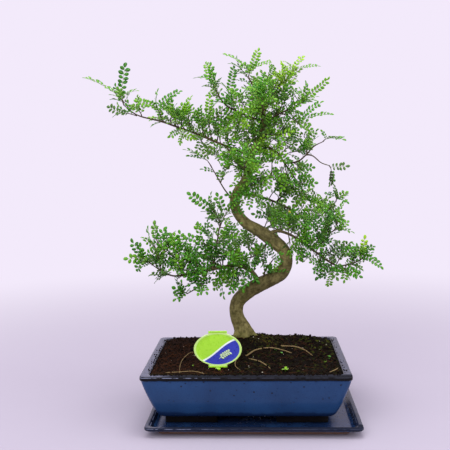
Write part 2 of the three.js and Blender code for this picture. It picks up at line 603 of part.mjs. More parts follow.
const pot = potSolid();
const wood = tidy(union(woodTubes(0)));
const label = labelSolid();
const seedling = seedlingSolid();
const holes = union([...woodTubes(HOLE_CLEARANCE), labelSolid(HOLE_CLEARANCE), seedling.hole]);
const soil = tidy(soilSolid().subtract(holes));

add('pot', geometryFrom(pot), finish(COLOURS.glaze, 0.25));
add('saucer', geometryFrom(saucerSolid()), finish(COLOURS.clay, 0.7));
add('soil', geometryFrom(soil), finish(COLOURS.soil, 0.95));
add('trunk', geometryFrom(wood), finish(COLOURS.bark, 0.85));
add('label', geometryFrom(label), finish(COLOURS.label, 0.35));
add('seedling', geometryFrom(seedling.plant), finish(COLOURS.seedling, 0.5));

const shoots = Object.entries(SHOOTS).map(([name, shoot]) => (
  { name, ends: shoot[3], ...shootTwig(shoot, wood) }
));
const obstacles = [
  ...[pot, wood, soil, label, seedling.plant].map(solid => ({ owner: 'holder', solid })),
  ...shoots.map(({ name, twig }) => ({ owner: name, solid: twig })),
];
shoots.forEach(({ name, ends, curve, twig }, index) => {
  const leaves = shootLeaves(name, index, curve, ends, obstacles);
  obstacles.push(...leaves.map(solid => ({ owner: name, solid })));
  const colour = NEW_GROWTH.includes(name) ? COLOURS.newLeaf : COLOURS.leaf;
  add(`shoot_${name}`, geometryFrom(tidy(union([twig, ...leaves]))), finish(colour, 0.5));
});

export default bonsai;
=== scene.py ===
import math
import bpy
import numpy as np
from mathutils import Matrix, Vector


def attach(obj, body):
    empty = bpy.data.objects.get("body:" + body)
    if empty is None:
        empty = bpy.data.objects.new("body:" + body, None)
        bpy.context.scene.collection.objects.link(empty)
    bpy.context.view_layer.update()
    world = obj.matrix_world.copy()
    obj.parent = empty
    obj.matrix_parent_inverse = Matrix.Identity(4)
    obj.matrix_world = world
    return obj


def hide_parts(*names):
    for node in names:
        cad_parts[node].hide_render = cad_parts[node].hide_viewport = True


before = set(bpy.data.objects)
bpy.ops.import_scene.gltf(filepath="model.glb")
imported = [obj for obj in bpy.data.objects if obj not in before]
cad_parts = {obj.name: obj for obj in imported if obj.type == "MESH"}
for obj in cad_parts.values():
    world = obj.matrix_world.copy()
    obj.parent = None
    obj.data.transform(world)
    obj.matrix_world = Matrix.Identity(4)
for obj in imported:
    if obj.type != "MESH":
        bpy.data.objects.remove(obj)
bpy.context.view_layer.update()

# %% [markdown]
# # A Japanese pepper bonsai
# The packed model gives the pot, the wood and one plain solid for each leafy shoot.
# This lesson dresses it: glaze, peat, bark and well over a thousand feathered leaves.
# Lengths are written in millimetres, as a maker would say them, and turned into
# metres once, when a mesh is made.

MM = 0.001

# %% [markdown]
# ## The camera
# The photograph looks down a little on the pot, from just right of its middle.
# The distance, height and focal length were found from the corners of the pot,
# whose rim is 360 mm long, so the frame below is the photograph's own frame.

# %% Camera
CAMERA_AT = (29.6, -1301.7, 469.8)
CAMERA_DOWN = 0.0928
CAMERA_LEFT = 0.0506
CAMERA_ROLL = -0.0179
FOCAL_PIXELS = 713.3
FRAME_PIXELS = 450
SENSOR = 36.0

camera_data = bpy.data.cameras.new("camera")
camera_data.sensor_width = SENSOR
camera_data.lens = FOCAL_PIXELS / FRAME_PIXELS * SENSOR
camera = bpy.data.objects.new("camera", camera_data)
bpy.context.collection.objects.link(camera)
turn = (Matrix.Rotation(CAMERA_LEFT, 4, "Z") @ Matrix.Rotation(math.pi / 2 - CAMERA_DOWN, 4, "X")
        @ Matrix.Rotation(CAMERA_ROLL, 4, "Z"))
camera.matrix_world = Matrix.Translation(Vector(CAMERA_AT) * MM) @ turn
bpy.context.scene.camera = camera
print("lens", round(camera_data.lens, 2), "mm")

# %% [markdown]
# ## Shader maths as Python
# A material is a formula. This small class wraps a socket, so that a formula can
# be written with + - * and powers, and each operation adds its own node. Colours
# and vectors have nodes of their own, because a Math node would turn them grey.

# %% Sockets that can be calculated with
class Value:
    """One output socket in a material, with arithmetic."""

    def __init__(self, shader, socket):
        self.shader, self.socket = shader, socket

    def math(self, operation, *others):
        """One Math node on this value and any others."""
        return self.shader.node("ShaderNodeMath", {"operation": operation}, self, *others)

    def __add__(self, other):
        return self.math("ADD", other)

    def __sub__(self, other):
        return self.math("SUBTRACT", other)

    def __rsub__(self, other):
        return self.shader.node("ShaderNodeMath", {"operation": "SUBTRACT"}, other, self)

    def __mul__(self, other):
        return self.math("MULTIPLY", other)

    def __truediv__(self, other):
        return self.math("DIVIDE", other)

    def __pow__(self, other):
        return self.math("POWER", other)

    __radd__ = __add__
    __rmul__ = __mul__

    def step(self, low, high):
        """0 below low, 1 above high and smooth between: the edge of a patch."""
        settings = {"interpolation_type": "SMOOTHSTEP"}
        return self.shader.node("ShaderNodeMapRange", settings, self, low, high, 0.0, 1.0)

    def between(self, low, full, wane, high):
        """1 between full and wane, 0 below low and above high: a band."""
        return self.step(low, full) * (1 - self.step(wane, high))


print("a value takes part in:", [name.strip("_") for name in vars(Value) if name.endswith(("add__", "sub__",
      "mul__", "truediv__", "pow__"))])


# %% A material that adds its own nodes
class Shader:
    """A material's nodes, with one method that adds any of them."""

    def __init__(self, name):
        self.material = bpy.data.materials.new(name)
        self.material.use_nodes = True
        self.tree = self.material.node_tree
        self.surface = self.tree.nodes["Principled BSDF"]

    def node(self, kind, settings, *inputs, out=0, **named):
        """Any node: its settings first, then its sockets by place or by name, and one of its outputs."""
        added = self.tree.nodes.new(kind)
        for key, setting in settings.items():
            setattr(added, key, setting)
        for key, value in [*enumerate(inputs), *named.items()]:
            self.join(value, added.inputs[key if isinstance(key, int) else key.replace("_", " ")])
        return Value(self, added.outputs[out])

    def join(self, value, socket):
        """A link from a value, or a plain number or colour on the socket itself."""
        if isinstance(value, Value):
            self.tree.links.new(value.socket, socket)
        elif value is not None:
            socket.default_value = value

    def place(self, scale=(1, 1, 1)):
        """Object coordinates in metres, stretched where a pattern is not round."""
        where = self.node("ShaderNodeTexCoord", {}, out=3)
        return self.node("ShaderNodeMapping", {}, where, Scale=scale)

    def along(self, vector):
        """The three parts of a vector: for a place, east, north and up."""
        parts = self.tree.nodes.new("ShaderNodeSeparateXYZ")
        self.join(vector, parts.inputs[0])
        return [Value(self, output) for output in parts.outputs]

    def noise(self, where, size, detail=3.0, roughness=0.55):
        """Cloudy noise whose patches are about size millimetres wide."""
        return self.node("ShaderNodeTexNoise", {}, Vector=where, Scale=1 / (size * MM), Detail=detail,
                         Roughness=roughness)

    def spots(self, where, size):
        """Distance from scattered points about size millimetres apart, 0 at each point."""
        return self.node("ShaderNodeTexVoronoi", {}, Vector=where, Scale=1 / (size * MM))

    def mix(self, share, first, second):
        """first where share is 0, second where it is 1; each a colour or a value."""
        mixer = self.tree.nodes.new("ShaderNodeMix")
        mixer.data_type = "RGBA"
        self.join(share, mixer.inputs["Factor"])
        for colour, socket in ((first, mixer.inputs["A"]), (second, mixer.inputs["B"])):
            self.join(colour if isinstance(colour, Value) else (*colour, 1.0), socket)
        return Value(self, mixer.outputs["Result"])

    def attribute(self, name):
        """The three values that a mesh keeps for each point under this name."""
        return self.node("ShaderNodeAttribute", {"attribute_name": name}, out=1)

    def bump(self, height, strength, distance):
        """Relief from a height, distance millimetres deep."""
        return self.node("ShaderNodeBump", {}, Strength=strength, Distance=distance * MM, Height=height)

    def finish(self, **sockets):
        """The finished material, with what is given on its shader's sockets."""
        for key, value in sockets.items():
            self.join(value, self.surface.inputs[key.replace("_", " ")])
        return self.material


def srgb(red, green, blue):
    """A colour as seen on a screen, 0 to 255, as the linear light that a shader takes."""
    shares = (red / 255, green / 255, blue / 255)
    return tuple(((c + 0.055) / 1.055) ** 2.4 if c > 10 / 255 else c / 12.92 for c in shares)


print("a mid grey is", [round(c, 3) for c in srgb(128, 128, 128)])

# %% [markdown]
# ## Room and light
# The photograph has a pale lilac ground that grows lighter with distance, no line
# where it ends, and light without hard shadows. A wide floor whose paint turns
# into the sky's own colour far out, a pale sky and three large lamps give this.

# %% Floor, sky and lamps
FLOOR_HALF = 9000.0
SKY = srgb(243, 234, 251)
BLACK = (0.0, 0.0, 0.0)
# metres from the pot where the floor's own paint begins to turn into the sky's
# colour, and where it has no paint left
FADE_OUT = (0.3, 1.8)

bpy.context.scene.view_settings.view_transform = "Standard"
world = bpy.data.worlds.new("room")
bpy.context.scene.world = world
world.use_nodes = True
world.node_tree.nodes["Background"].inputs["Color"].default_value = (*SKY, 1.0)
world.node_tree.nodes["Background"].inputs["Strength"].default_value = 1.0

floor_mesh = bpy.data.meshes.new("floor")
edge = FLOOR_HALF * MM
floor_corners = [(-edge, -edge, 0), (edge, -edge, 0), (edge, edge, 0), (-edge, edge, 0)]
floor_mesh.from_pydata(floor_corners, [], [(0, 1, 2, 3)])
floor = bpy.data.objects.new("floor", floor_mesh)
bpy.context.collection.objects.link(floor)
paint = Shader("floor_paint")
cloud = paint.noise(paint.place(), 900)
east, north, _ = paint.along(paint.place())
far = ((east * east + north * north) ** 0.5).step(*FADE_OUT)
tint = paint.mix(far, paint.mix(cloud, srgb(170, 164, 176), srgb(178, 172, 184)), BLACK)
glow = paint.mix(far, BLACK, SKY)
floor_mesh.materials.append(paint.finish(Base_Color=tint, Emission_Color=glow, Emission_Strength=1.0,
                                         Roughness=0.9, Specular_IOR_Level=0.0))


def lamp(name, at, aim, size, watts):
    """A square soft lamp at a point, turned to face another."""
    data = bpy.data.lights.new(name, "AREA")
    data.size = size
    data.energy = watts
    holder = bpy.data.objects.new(name, data)
    bpy.context.collection.objects.link(holder)
    holder.location = at
    holder.rotation_euler = (Vector(aim) - Vector(at)).to_track_quat("-Z", "Y").to_euler()


lamp("lamp_front", at=(-0.9, -1.9, 1.7), aim=(0, 0, 0.3), size=1.2, watts=24)
lamp("lamp_right", at=(1.9, -0.7, 1.3), aim=(0, 0, 0.35), size=1.4, watts=12)
lamp("lamp_top", at=(0.1, -0.1, 2.3), aim=(0, 0.05, 0.2), size=1.4, watts=30)
print("lamps:", len(bpy.data.lights))

# %% [markdown]
# ## Surfaces from arrays
# Every new piece is worked out with numpy as whole arrays: a grid of points for a
# tube or a blade, repeated for all of its kind at once. A skin is then a set of
# points, the quads and triangles between them, and one row of values per point
# that its material can read.

# %% Directions, draws and bumps
def unit(vectors):
    """Each vector divided by its own length."""
    return vectors / np.maximum(np.linalg.norm(vectors, axis=-1, keepdims=True), 1e-9)


def draw(numbers):
    """The same value between 0 and 1 each time: the broken part of a large sine."""
    value = np.sin(np.asarray(numbers) * 12.9898 + 78.233) * 43758.5453
    return value - np.floor(value)


def rough(points, size, seed, waves=11):
    """Bumps about size wide, from -1 to 1: the mean of sine waves that run every way."""
    source = np.random.default_rng(seed)
    ways = unit(source.normal(size=(waves, 3)))
    ways = ways * (2 * np.pi / (size * source.uniform(0.7, 1.7, (waves, 1))))
    return np.sin(points @ ways.T + source.uniform(0, 2 * np.pi, waves)).mean(axis=-1) * 2.2


def turns(count):
    """The angles of count even steps round a full turn."""
    return np.arange(count) * 2 * np.pi / count


def columns_of(*columns):
    """Numbers and arrays side by side as the columns of one table."""
    return np.stack(np.broadcast_arrays(*columns), -1)


print("three draws:", draw([1, 2, 3]).round(3))


# %% Closed skins
def grid_faces(blocks, rows, columns, wrap):
    """Quads of blocks grids of rows by columns points; wrap joins the last column to the first."""
    start = np.arange(blocks)[:, None, None] * rows * columns
    row = np.arange(rows - 1)[None, :, None]
    column = np.arange(columns if wrap else columns - 1)[None, None, :]
    after = (column + 1) % columns
    corners = [start + row * columns + column, start + row * columns + after,
               start + (row + 1) * columns + after, start + (row + 1) * columns + column]
    return np.stack(np.broadcast_arrays(*corners), axis=-1).reshape(-1, 4)


def closed_skin(rings, first, last, values):
    """Blocks of rings (blocks, rows, columns, 3), each closed by a fan to a point at both ends.

    The values are three numbers for each point, which a material can read."""
    blocks, rows, columns = rings.shape[:3]
    quads = grid_faces(blocks, rows, columns, True)
    body = blocks * rows * columns
    column = np.arange(columns)[None, :]
    start = np.arange(blocks)[:, None] * rows * columns
    low = np.broadcast_to(body + np.arange(blocks)[:, None], (blocks, columns))
    high = low + blocks
    after = (column + 1) % columns
    top = start + (rows - 1) * columns
    fans = [np.stack([low, start + after, start + column], -1),
            np.stack([high, top + column, top + after], -1)]
    shown = np.broadcast_to(values, rings.shape)
    return {"points": np.concatenate([rings.reshape(-1, 3), first.reshape(-1, 3), last.reshape(-1, 3)]),
            "quads": quads, "triangles": np.concatenate(fans).reshape(-1, 3),
            "values": np.concatenate([shown.reshape(-1, 3), shown[:, 0, 0], shown[:, -1, 0]])}


def frames_along(centres):
    """Two directions square to each path (blocks, rows, 3), steady all along it."""
    ahead = np.gradient(centres, axis=1)
    run = unit(ahead.mean(axis=1))
    helper = np.where(np.abs(run[:, 1:2]) < 0.7, [[0.0, -1.0, 0.0]], [[0.0, 0.0, 1.0]])
    ahead = unit(ahead)
    side = unit(helper[:, None, :] - ahead * (ahead * helper[:, None, :]).sum(-1, keepdims=True))
    return side, np.cross(ahead, side)


def tubes(centres, radii, around, values):
    """Round tubes on paths: centre + radius * (cos a * side + sin a * across).

    A radius stands for a whole ring, or for one point of it."""
    side, across = frames_along(centres)
    angle = turns(around)
    spoke = side[:, :, None, :] * np.cos(angle)[:, None] + across[:, :, None, :] * np.sin(angle)[:, None]
    radii = radii[:, :, None, None] if radii.ndim == 2 else radii[..., None]
    rings = centres[:, :, None, :] + radii * spoke
    return closed_skin(rings, centres[:, 0], centres[:, -1], values)


def join_skins(skins):
    """Several skins as one, with their faces counted on."""
    offsets = np.cumsum([0] + [len(skin["points"]) for skin in skins[:-1]])
    joined = {key: np.concatenate([skin[key] for skin in skins]) for key in ("points", "values")}
    for key in ("quads", "triangles"):
        joined[key] = np.concatenate([skin[key] + offset for skin, offset in zip(skins, offsets)])
    return joined


two_threads = tubes(np.zeros((2, 3, 3)) + np.arange(3)[:, None], np.ones((2, 3)), 4, np.zeros(3))
print("two tubes of three rings have", len(two_threads["points"]), "points")


# %% From a skin to a piece of the part
triangle_total = {"all": 0}


def add_piece(name, skin, material, nodes=()):
    """A skin in millimetres as an object of the part, in place of the solids it stands for."""
    mesh = bpy.data.meshes.new(name)
    faces = [skin["quads"], skin["triangles"]]
    mesh.vertices.add(len(skin["points"]))
    mesh.vertices.foreach_set("co", (skin["points"] * MM).astype(np.float32).ravel())
    corners = np.concatenate([part.ravel() for part in faces]).astype(np.int32)
    mesh.loops.add(len(corners))
    mesh.loops.foreach_set("vertex_index", corners)
    counts = np.repeat([4, 3], [len(part) for part in faces])
    mesh.polygons.add(len(counts))
    mesh.polygons.foreach_set("loop_start", (np.cumsum(counts) - counts).astype(np.int32))
    mesh.polygons.foreach_set("use_smooth", np.full(len(counts), True))
    layer = mesh.attributes.new("values", "FLOAT_VECTOR", "POINT")
    layer.data.foreach_set("vector", skin["values"].astype(np.float32).ravel())
    mesh.update(calc_edges=True)
    mesh.materials.append(material)
    piece = bpy.data.objects.new(name, mesh)
    bpy.context.collection.objects.link(piece)
    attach(piece, "root")
    if nodes:
        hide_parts(*nodes)
    triangle_total["all"] += 2 * len(skin["quads"]) + len(skin["triangles"])


print("triangles so far:", triangle_total["all"])

# %% [markdown]
# ## The pot
# A slab-built rectangular pot: a flat rim with a dark lip round it, walls that
# lean in to the foot, and four clay corner feet left bare of glaze. Its section
# is a profile of height and inset, carried round a rounded rectangle. Extra
# levels beside each edge round it off, because a glazed edge is never sharp.

# %% Rounded rectangle carried through a profile
POT = {"length": 360.0, "width": 272.0, "corner": 9.0, "shift": 0.0}
SAUCER = {"length": 371.0, "width": 283.0, "corner": 9.0, "shift": 12.0}
POT_LEVELS = [(25, 36), (25, 33.8), (25.5, 31.8), (26.8, 29), (30.5, 25.6), (38, 21.9), (48, 17.6),
    (58, 13.8), (70, 9.6), (84, 5), (93, 2.6), (96.2, 1.9), (96.8, 1.4), (97.4, 0.6), (98.2, 0.1),
    (100, -0.1), (103, 0), (104.3, 0.4), (104.9, 1.4), (105, 3), (105, 8), (104.9, 12.4), (104.4, 13.7),
    (103, 14.4), (98, 14.9), (88, 15.6), (60, 21.2), (31, 36.6), (30, 38)]
SAUCER_LEVELS = [(0, 27), (0, 21.8), (0.6, 21), (4.4, 20.2), (5.2, 19.2), (10.5, 4.4), (11.4, 2.6),
    (12.8, 0.8), (14, 0.1), (16.8, 0), (17.8, 0.4), (18.1, 1.4), (18.2, 3.5), (18.1, 6.4), (17.6, 7.4),
    (12.2, 13.8), (9.3, 16.6), (8.8, 18), (8.7, 21)]
FOOT_CORNER = (142.0, 90.0)
SIDE_STEPS = (56, 42)
CORNER_STEPS = 7
FOOT_REACH, FOOT_THICK, FOOT_HEIGHT = (90.0, 60.0), 15.0, 17.5
# height and how far the outline is drawn in
FOOT_LEVELS = ((9.0, 1.4), (9.5, 0.5), (10.6, 0), (18, -0.3), (26.5, -0.6))


def rounded_outline(length, width, corner, steps):
    """A rounded rectangle about the origin, anticlockwise: four quarter circles and their straights."""
    outline = []
    for turn in range(4):
        angle = (turn + np.linspace(0, 1, steps + 1)) * np.pi / 2
        quarter = np.array([(1, 1), (-1, 1), (-1, -1), (1, -1)][turn])
        middle = quarter * (length / 2 - corner, width / 2 - corner)
        arc = middle + corner * np.stack([np.cos(angle), np.sin(angle)], -1)
        outline.append(arc)
    full = []
    for turn, arc in enumerate(outline):
        start = outline[(turn + 1) % 4][0]
        share = np.linspace(0, 1, SIDE_STEPS[turn % 2], endpoint=False)[1:, None]
        full += [arc, arc[-1] + (start - arc[-1]) * share]
    return np.concatenate(full)


def vessel_skin(vessel, levels, wobble, seed):
    """The outline drawn in by each level's inset at its height, with the faint unevenness of clay."""
    rings = []
    for height, inset in levels:
        ring = rounded_outline(vessel["length"] - 2 * inset, vessel["width"] - 2 * inset, vessel["corner"],
                               CORNER_STEPS)
        rings.append(columns_of(ring[:, 0] + vessel["shift"], ring[:, 1], height))
    rings = np.stack(rings)[None]
    uneven = rough(rings * (1, 1, 2.2), 46, seed)[..., None] * wobble
    outward = unit((rings - (vessel["shift"], 0, 0)) * (1, 1, 0))
    raised = (rings[..., 2:] > 1.0).astype(float)
    rings = rings + outward * uneven * raised
    first, last = rings[:, 0].mean(axis=1), rings[:, -1].mean(axis=1)
    return closed_skin(rings, first, last, np.zeros(3))


saucer_skin = vessel_skin(SAUCER, SAUCER_LEVELS, wobble=0.3, seed=5)
print("saucer points:", len(saucer_skin["points"]))


# %% Corner feet
def foot_skin(sign_x, sign_y):
    """One L-shaped corner foot: its outline at five heights, drawn in a little at its base."""
    (reach_x, reach_y), thick, cut = FOOT_REACH, FOOT_THICK, 4
    corner = np.array([(0, 0), (-reach_x, 0), (-reach_x, -thick), (-thick - cut, -thick),
                       (-thick, -thick - cut), (-thick, -reach_y), (0, -reach_y)], float)
    heart = np.array([-thick / 2, -thick / 2])
    rings = []
    for height, shrink in FOOT_LEVELS:
        drawn = corner - np.sign(corner - heart) * shrink
        drawn = drawn * (sign_x, sign_y) + np.array(FOOT_CORNER) * (sign_x, sign_y)
        rings.append(np.column_stack([drawn, np.full(len(drawn), height)]))
    rings = np.stack(rings)[None]
    if sign_x * sign_y < 0:
        rings = rings[:, :, ::-1]
    inward = 7
    middle = np.array([[(FOOT_CORNER[0] - inward) * sign_x, (FOOT_CORNER[1] - inward) * sign_y,
                        FOOT_LEVELS[0][0]]])
    return closed_skin(rings, middle, middle + (0, 0, FOOT_HEIGHT), np.zeros(3))


pot_skin = join_skins([vessel_skin(POT, POT_LEVELS, wobble=0.12, seed=3)]
                      + [foot_skin(x, y) for x, y in ((1, 1), (-1, 1), (-1, -1), (1, -1))])
print("pot points:", len(pot_skin["points"]))

# %% [markdown]
# ## Glaze
# The glaze is a deep blue that is darker towards the foot and breaks to near black or grey brown where it
# thins, along the rim and the edges. Small dark pits are scattered over it. A pale line along the lip is a
# painted highlight, the rim's top is lighter at its left end as a painted reflection, and the front strip
# of the rim is darkened as painted shade. One recipe serves pot and saucer, with the heights of its bands
# as arguments.

# %% Blue glaze
def glaze(name, lip_low, lip_high, lip_colour, dark_below, clay_below, clay_colours, slate_share):
    """Blue by height: clay, a dark foot with a wavy edge, the body, the lip and the slate top.

    Heights are in millimetres. A pale line on the lip, strongest at the left end, is a painted highlight;
    the rim's top is lighter at its left end as a painted reflection, and the front of the rim is darkened
    as painted shade."""
    shade = Shader(name)
    where = shade.place()
    east, north, up = shade.along(where)
    height = up / MM
    drift = shade.noise(shade.place((1, 1, 0.6)), 40, 4)
    fine = shade.noise(where, 2.2, 2)
    runs = shade.noise(shade.place((1, 1, 0.35)), 12, 3)
    body = shade.mix(drift.step(0.25, 0.75), srgb(33, 61, 99), srgb(37, 70, 112))
    body = shade.mix(fine.step(0.5, 0.75) * 0.35, body, srgb(20, 40, 76))
    foot = 1 - (height + (drift - 0.5) * 14).step(dark_below - 2.5, dark_below + 2.5)
    blue = shade.mix(foot * 0.75, body, srgb(17, 31, 64))
    blue = shade.mix((height + runs * 3).step(lip_low, lip_low + 1.2), blue, lip_colour)
    # a pale line on the lip, strongest at the left end: a painted highlight
    painted_lip_highlight = height.between(lip_high - 2.6, lip_high - 2.1, lip_high - 1.6, lip_high - 1.1)
    painted_lip_highlight = painted_lip_highlight * (0.2 + 0.8 * (1 - east.step(-0.12, -0.02)))
    blue = shade.mix(painted_lip_highlight * runs.step(0.4, 0.56) * 0.8, blue, srgb(126, 134, 158))
    mottle = shade.noise(where, 7, 4)
    slate = shade.mix(mottle.step(0.35, 0.65), srgb(24, 28, 42), srgb(62, 68, 90))
    # the rim's top lighter at its left end: a painted reflection
    slate = shade.mix((1 - east.step(-0.17, -0.1)) * 0.35, slate, srgb(112, 114, 138))
    # the front strip of the rim darkened nearly to black: painted shade; the same strip is also made
    # rougher
    painted_front_shade = (1 - north.step(-0.126, -0.119)) * east.step(-0.15, -0.12)
    slate = shade.mix(painted_front_shade * 0.85, slate, srgb(9, 11, 20))
    blue = shade.mix(height.step(lip_high - 0.4, lip_high) * slate_share, blue, slate)
    upper = height.step(dark_below + 12, dark_below + 42) * 0.7 + 0.3
    pits = (1 - shade.spots(where, 9).step(0.12, 0.22)) * shade.noise(where, 21, 1).step(0.45, 0.55)
    blue = shade.mix(pits * upper, blue, srgb(5, 6, 12))
    clay = 1 - (height + (fine - 0.5) * 1.5).step(clay_below - 0.4, clay_below + 0.4)
    colour = shade.mix(clay, blue, shade.mix(fine, *clay_colours))
    dull_rim = painted_front_shade * height.step(lip_high - 2, lip_high) * 0.7
    gloss = 0.12 + drift * 0.1 + clay * 0.6 + pits * 0.2 + dull_rim
    ripple = shade.bump(drift * 0.6 + fine * 0.12 - pits * 0.5, 0.35, 1.2)
    return shade.finish(Base_Color=colour, Roughness=gloss, Normal=ripple, Specular_IOR_Level=0.18)


# the pot's feet take the clay darkened nearly to black as painted shade under the pot; the saucer's foot
# takes the clay's own colour
CLAY_IN_PAINTED_SHADE = (srgb(14, 12, 13), srgb(26, 20, 19))
PALE_CLAY = (srgb(112, 84, 70), srgb(150, 120, 102))
pot_glaze = glaze("pot_glaze", lip_low=98.6, lip_high=104.9, lip_colour=srgb(3, 3, 5), dark_below=35,
                  clay_below=24.8, clay_colours=CLAY_IN_PAINTED_SHADE, slate_share=0.9)
saucer_glaze = glaze("saucer_glaze", lip_low=13.4, lip_high=18.2, lip_colour=srgb(17, 25, 44),
                     dark_below=11, clay_below=5.4, clay_colours=PALE_CLAY, slate_share=0.5)
add_piece("pot_body", pot_skin, pot_glaze, ["pot"])
add_piece("saucer_body", saucer_skin, saucer_glaze, ["saucer"])
print("triangles so far:", triangle_total["all"])

# %% [markdown]
# ## Peat
# The soil is moist peat, heaped round the trunk. Its large form is the height
# formula of the solid; crumbs are added to it at three sizes, and loose crumbs,
# fibres and a few white grains lie on top as small bodies of their own.

# %% Height of the soil
SOIL_EDGE, SOIL_BOTTOM = 101.0, 40.0
# each rise: its middle, its spread along x and y, and its height
SOIL_RISES = ((2, 52, 60, 40, 27), (110, 112, 68, 26, 12), (-122, 116, 56, 22, 11), (-60, -30, 38, 30, 2.5))
INNER_HALF = (165.7, 121.7)
SOIL_GRID = (250, 184)
SOIL_TAPER = 21.6
# where the rises and waves have faded to the level edge, and how suddenly they do
FADE_HALF, FADE_POWER = (166, 122), 16


def soil_height(x, y):
    """The level edge plus rises like bells, faded out at the pot's walls, with two slow waves."""
    fade = (np.clip(1 - (x / FADE_HALF[0]) ** FADE_POWER, 0, 1)
            * np.clip(1 - (y / FADE_HALF[1]) ** FADE_POWER, 0, 1))
    rise = sum(height * np.exp(-((x - mx) / wide) ** 2 / 2 - ((y - my) / deep) ** 2 / 2)
               for mx, my, wide, deep, height in SOIL_RISES)
    waves = 0.7 * np.sin(x / 13 + 1.3 * np.sin(y / 17)) + 0.6 * np.sin(y / 11 + x / 23)
    return SOIL_EDGE + fade * (rise + waves)


def crumbled(x, y):
    """The height with crumbs: rough values at 11, 5 and 2.4 mm, sharpened upwards."""
    flat = columns_of(x, y, 0.0)
    crumbs = 1.3 * rough(flat, 11, 21) + 0.9 * np.abs(rough(flat, 5, 22))
    crumbs = crumbs + 0.55 * np.abs(rough(flat, 2.4, 23))
    return soil_height(x, y) + crumbs - 0.6


def soil_skin():
    """A grid over the pot's inside with the crumbled height, and a skirt that closes it underneath."""
    columns, rows = SOIL_GRID
    u, v = np.meshgrid(np.linspace(-1, 1, columns), np.linspace(-1, 1, rows))
    x, y = u * INNER_HALF[0], v * INNER_HALF[1]
    top = np.stack([x, y, crumbled(x, y)], -1)
    low = columns_of(u * (INNER_HALF[0] - SOIL_TAPER), v * (INNER_HALF[1] - SOIL_TAPER), SOIL_BOTTOM)
    edge = np.concatenate([np.arange(columns), np.arange(1, rows) * columns + columns - 1,
                           np.arange(columns - 2, -1, -1) + (rows - 1) * columns,
                           np.arange(rows - 2, 0, -1) * columns])
    skirt = low.reshape(-1, 3)[edge]
    count = rows * columns
    ring = np.arange(len(edge))
    after = (ring + 1) % len(edge)
    wall = np.stack([edge[after], edge, count + ring, count + after], -1)
    base = np.stack([np.full_like(ring, count + len(edge)), count + after, count + ring], -1)
    points = np.concatenate([top.reshape(-1, 3), skirt, [[0, 0, SOIL_BOTTOM]]])
    quads = np.concatenate([grid_faces(1, rows, columns, False), wall])
    return {"points": points, "quads": quads, "triangles": base, "values": np.zeros_like(points)}


soil_top = soil_skin()
print("soil is", round(float(soil_top["points"][:, 2].max()), 1), "mm high at most")


# %% Loose crumbs
RIM_TOP = 105


def lumps(centres, sizes, seed, tone):
    """Small crumbs, one for each centre: three rings of five points between two poles, pushed about."""
    source = np.random.default_rng(seed)
    count = len(centres)
    turn = turns(5)
    level = np.array([-0.62, 0.0, 0.62])
    ring = np.sqrt(1 - level ** 2)
    shape = np.stack([ring[:, None] * np.cos(turn), ring[:, None] * np.sin(turn),
                      np.broadcast_to(level[:, None], (3, 5))], -1)
    push = source.uniform(0.7, 1.25, (count, 3, 5, 1))
    stretch = source.uniform(0.6, 1.3, (count, 1, 1, 3))
    rings = centres[:, None, None] + sizes[:, None, None, None] * shape * push * stretch
    poles = sizes[:, None] * stretch[:, 0, 0] * (0, 0, 1)
    values = columns_of(tone, 0.0, 0.0)[:, None, None]
    return closed_skin(rings, centres - poles, centres + poles, values)


def scatter(count, seed, x_range=(-161, 161), y_range=(-117, 117)):
    """Seeded places on the soil."""
    source = np.random.default_rng(seed)
    x, y = source.uniform(*x_range, count), source.uniform(*y_range, count)
    return source, x, y


def crumbs_on_soil(count, seed):
    """Crumbs everywhere, most of them small."""
    source, x, y = scatter(count, seed)
    size = 0.7 + 2.0 * source.uniform(0, 1, count) ** 3
    centres = columns_of(x, y, crumbled(x, y) + size * 0.25)
    return lumps(centres, size, seed + 1, source.uniform(0, 0.5, count))


def white_grains(count, seed):
    """A few grains of perlite."""
    source, x, y = scatter(count, seed)
    size = source.uniform(0.5, 1.1, count)
    return lumps(columns_of(x, y, crumbled(x, y) + size * 0.4), size, seed + 1, np.full(count, 1.0))


def spilt_crumbs(count, seed):
    """Crumbs on the rim, a fifth of them at the pot's two ends."""
    source, x, y = scatter(count, seed)
    over = 2.0 + 7.0 * source.uniform(0, 1, count) ** 4.0
    beside = source.uniform(0, 1, count) < 0.2
    x = np.where(beside, np.sign(x) * (INNER_HALF[0] + over), x)
    y = np.where(beside, y, np.sign(y) * (INNER_HALF[1] + over))
    size = 0.4 + 1.4 * source.uniform(0, 1, count) ** 3
    return lumps(columns_of(x, y, RIM_TOP + size * 0.3), size, seed + 1, source.uniform(0, 0.5, count))


def heaped_crumbs(count, seed):
    """Crumbs pushed up against the rim at the front."""
    source, x, _ = scatter(count, seed)
    size = 0.5 + 1.3 * source.uniform(0, 1, count) ** 2
    front = -INNER_HALF[1] - source.uniform(0, 1, count) ** 2 * 7
    return lumps(columns_of(x, front, RIM_TOP + size * 0.3), size, seed + 1, source.uniform(0, 0.3, count))


soil_loose = join_skins([crumbs_on_soil(3400, seed=31), white_grains(45, seed=33),
                         spilt_crumbs(520, seed=35), heaped_crumbs(300, seed=37)])
print("points of loose crumbs:", len(soil_loose["points"]))


# %% Peat fibres
FIBRES_WITHIN = (163, 119)


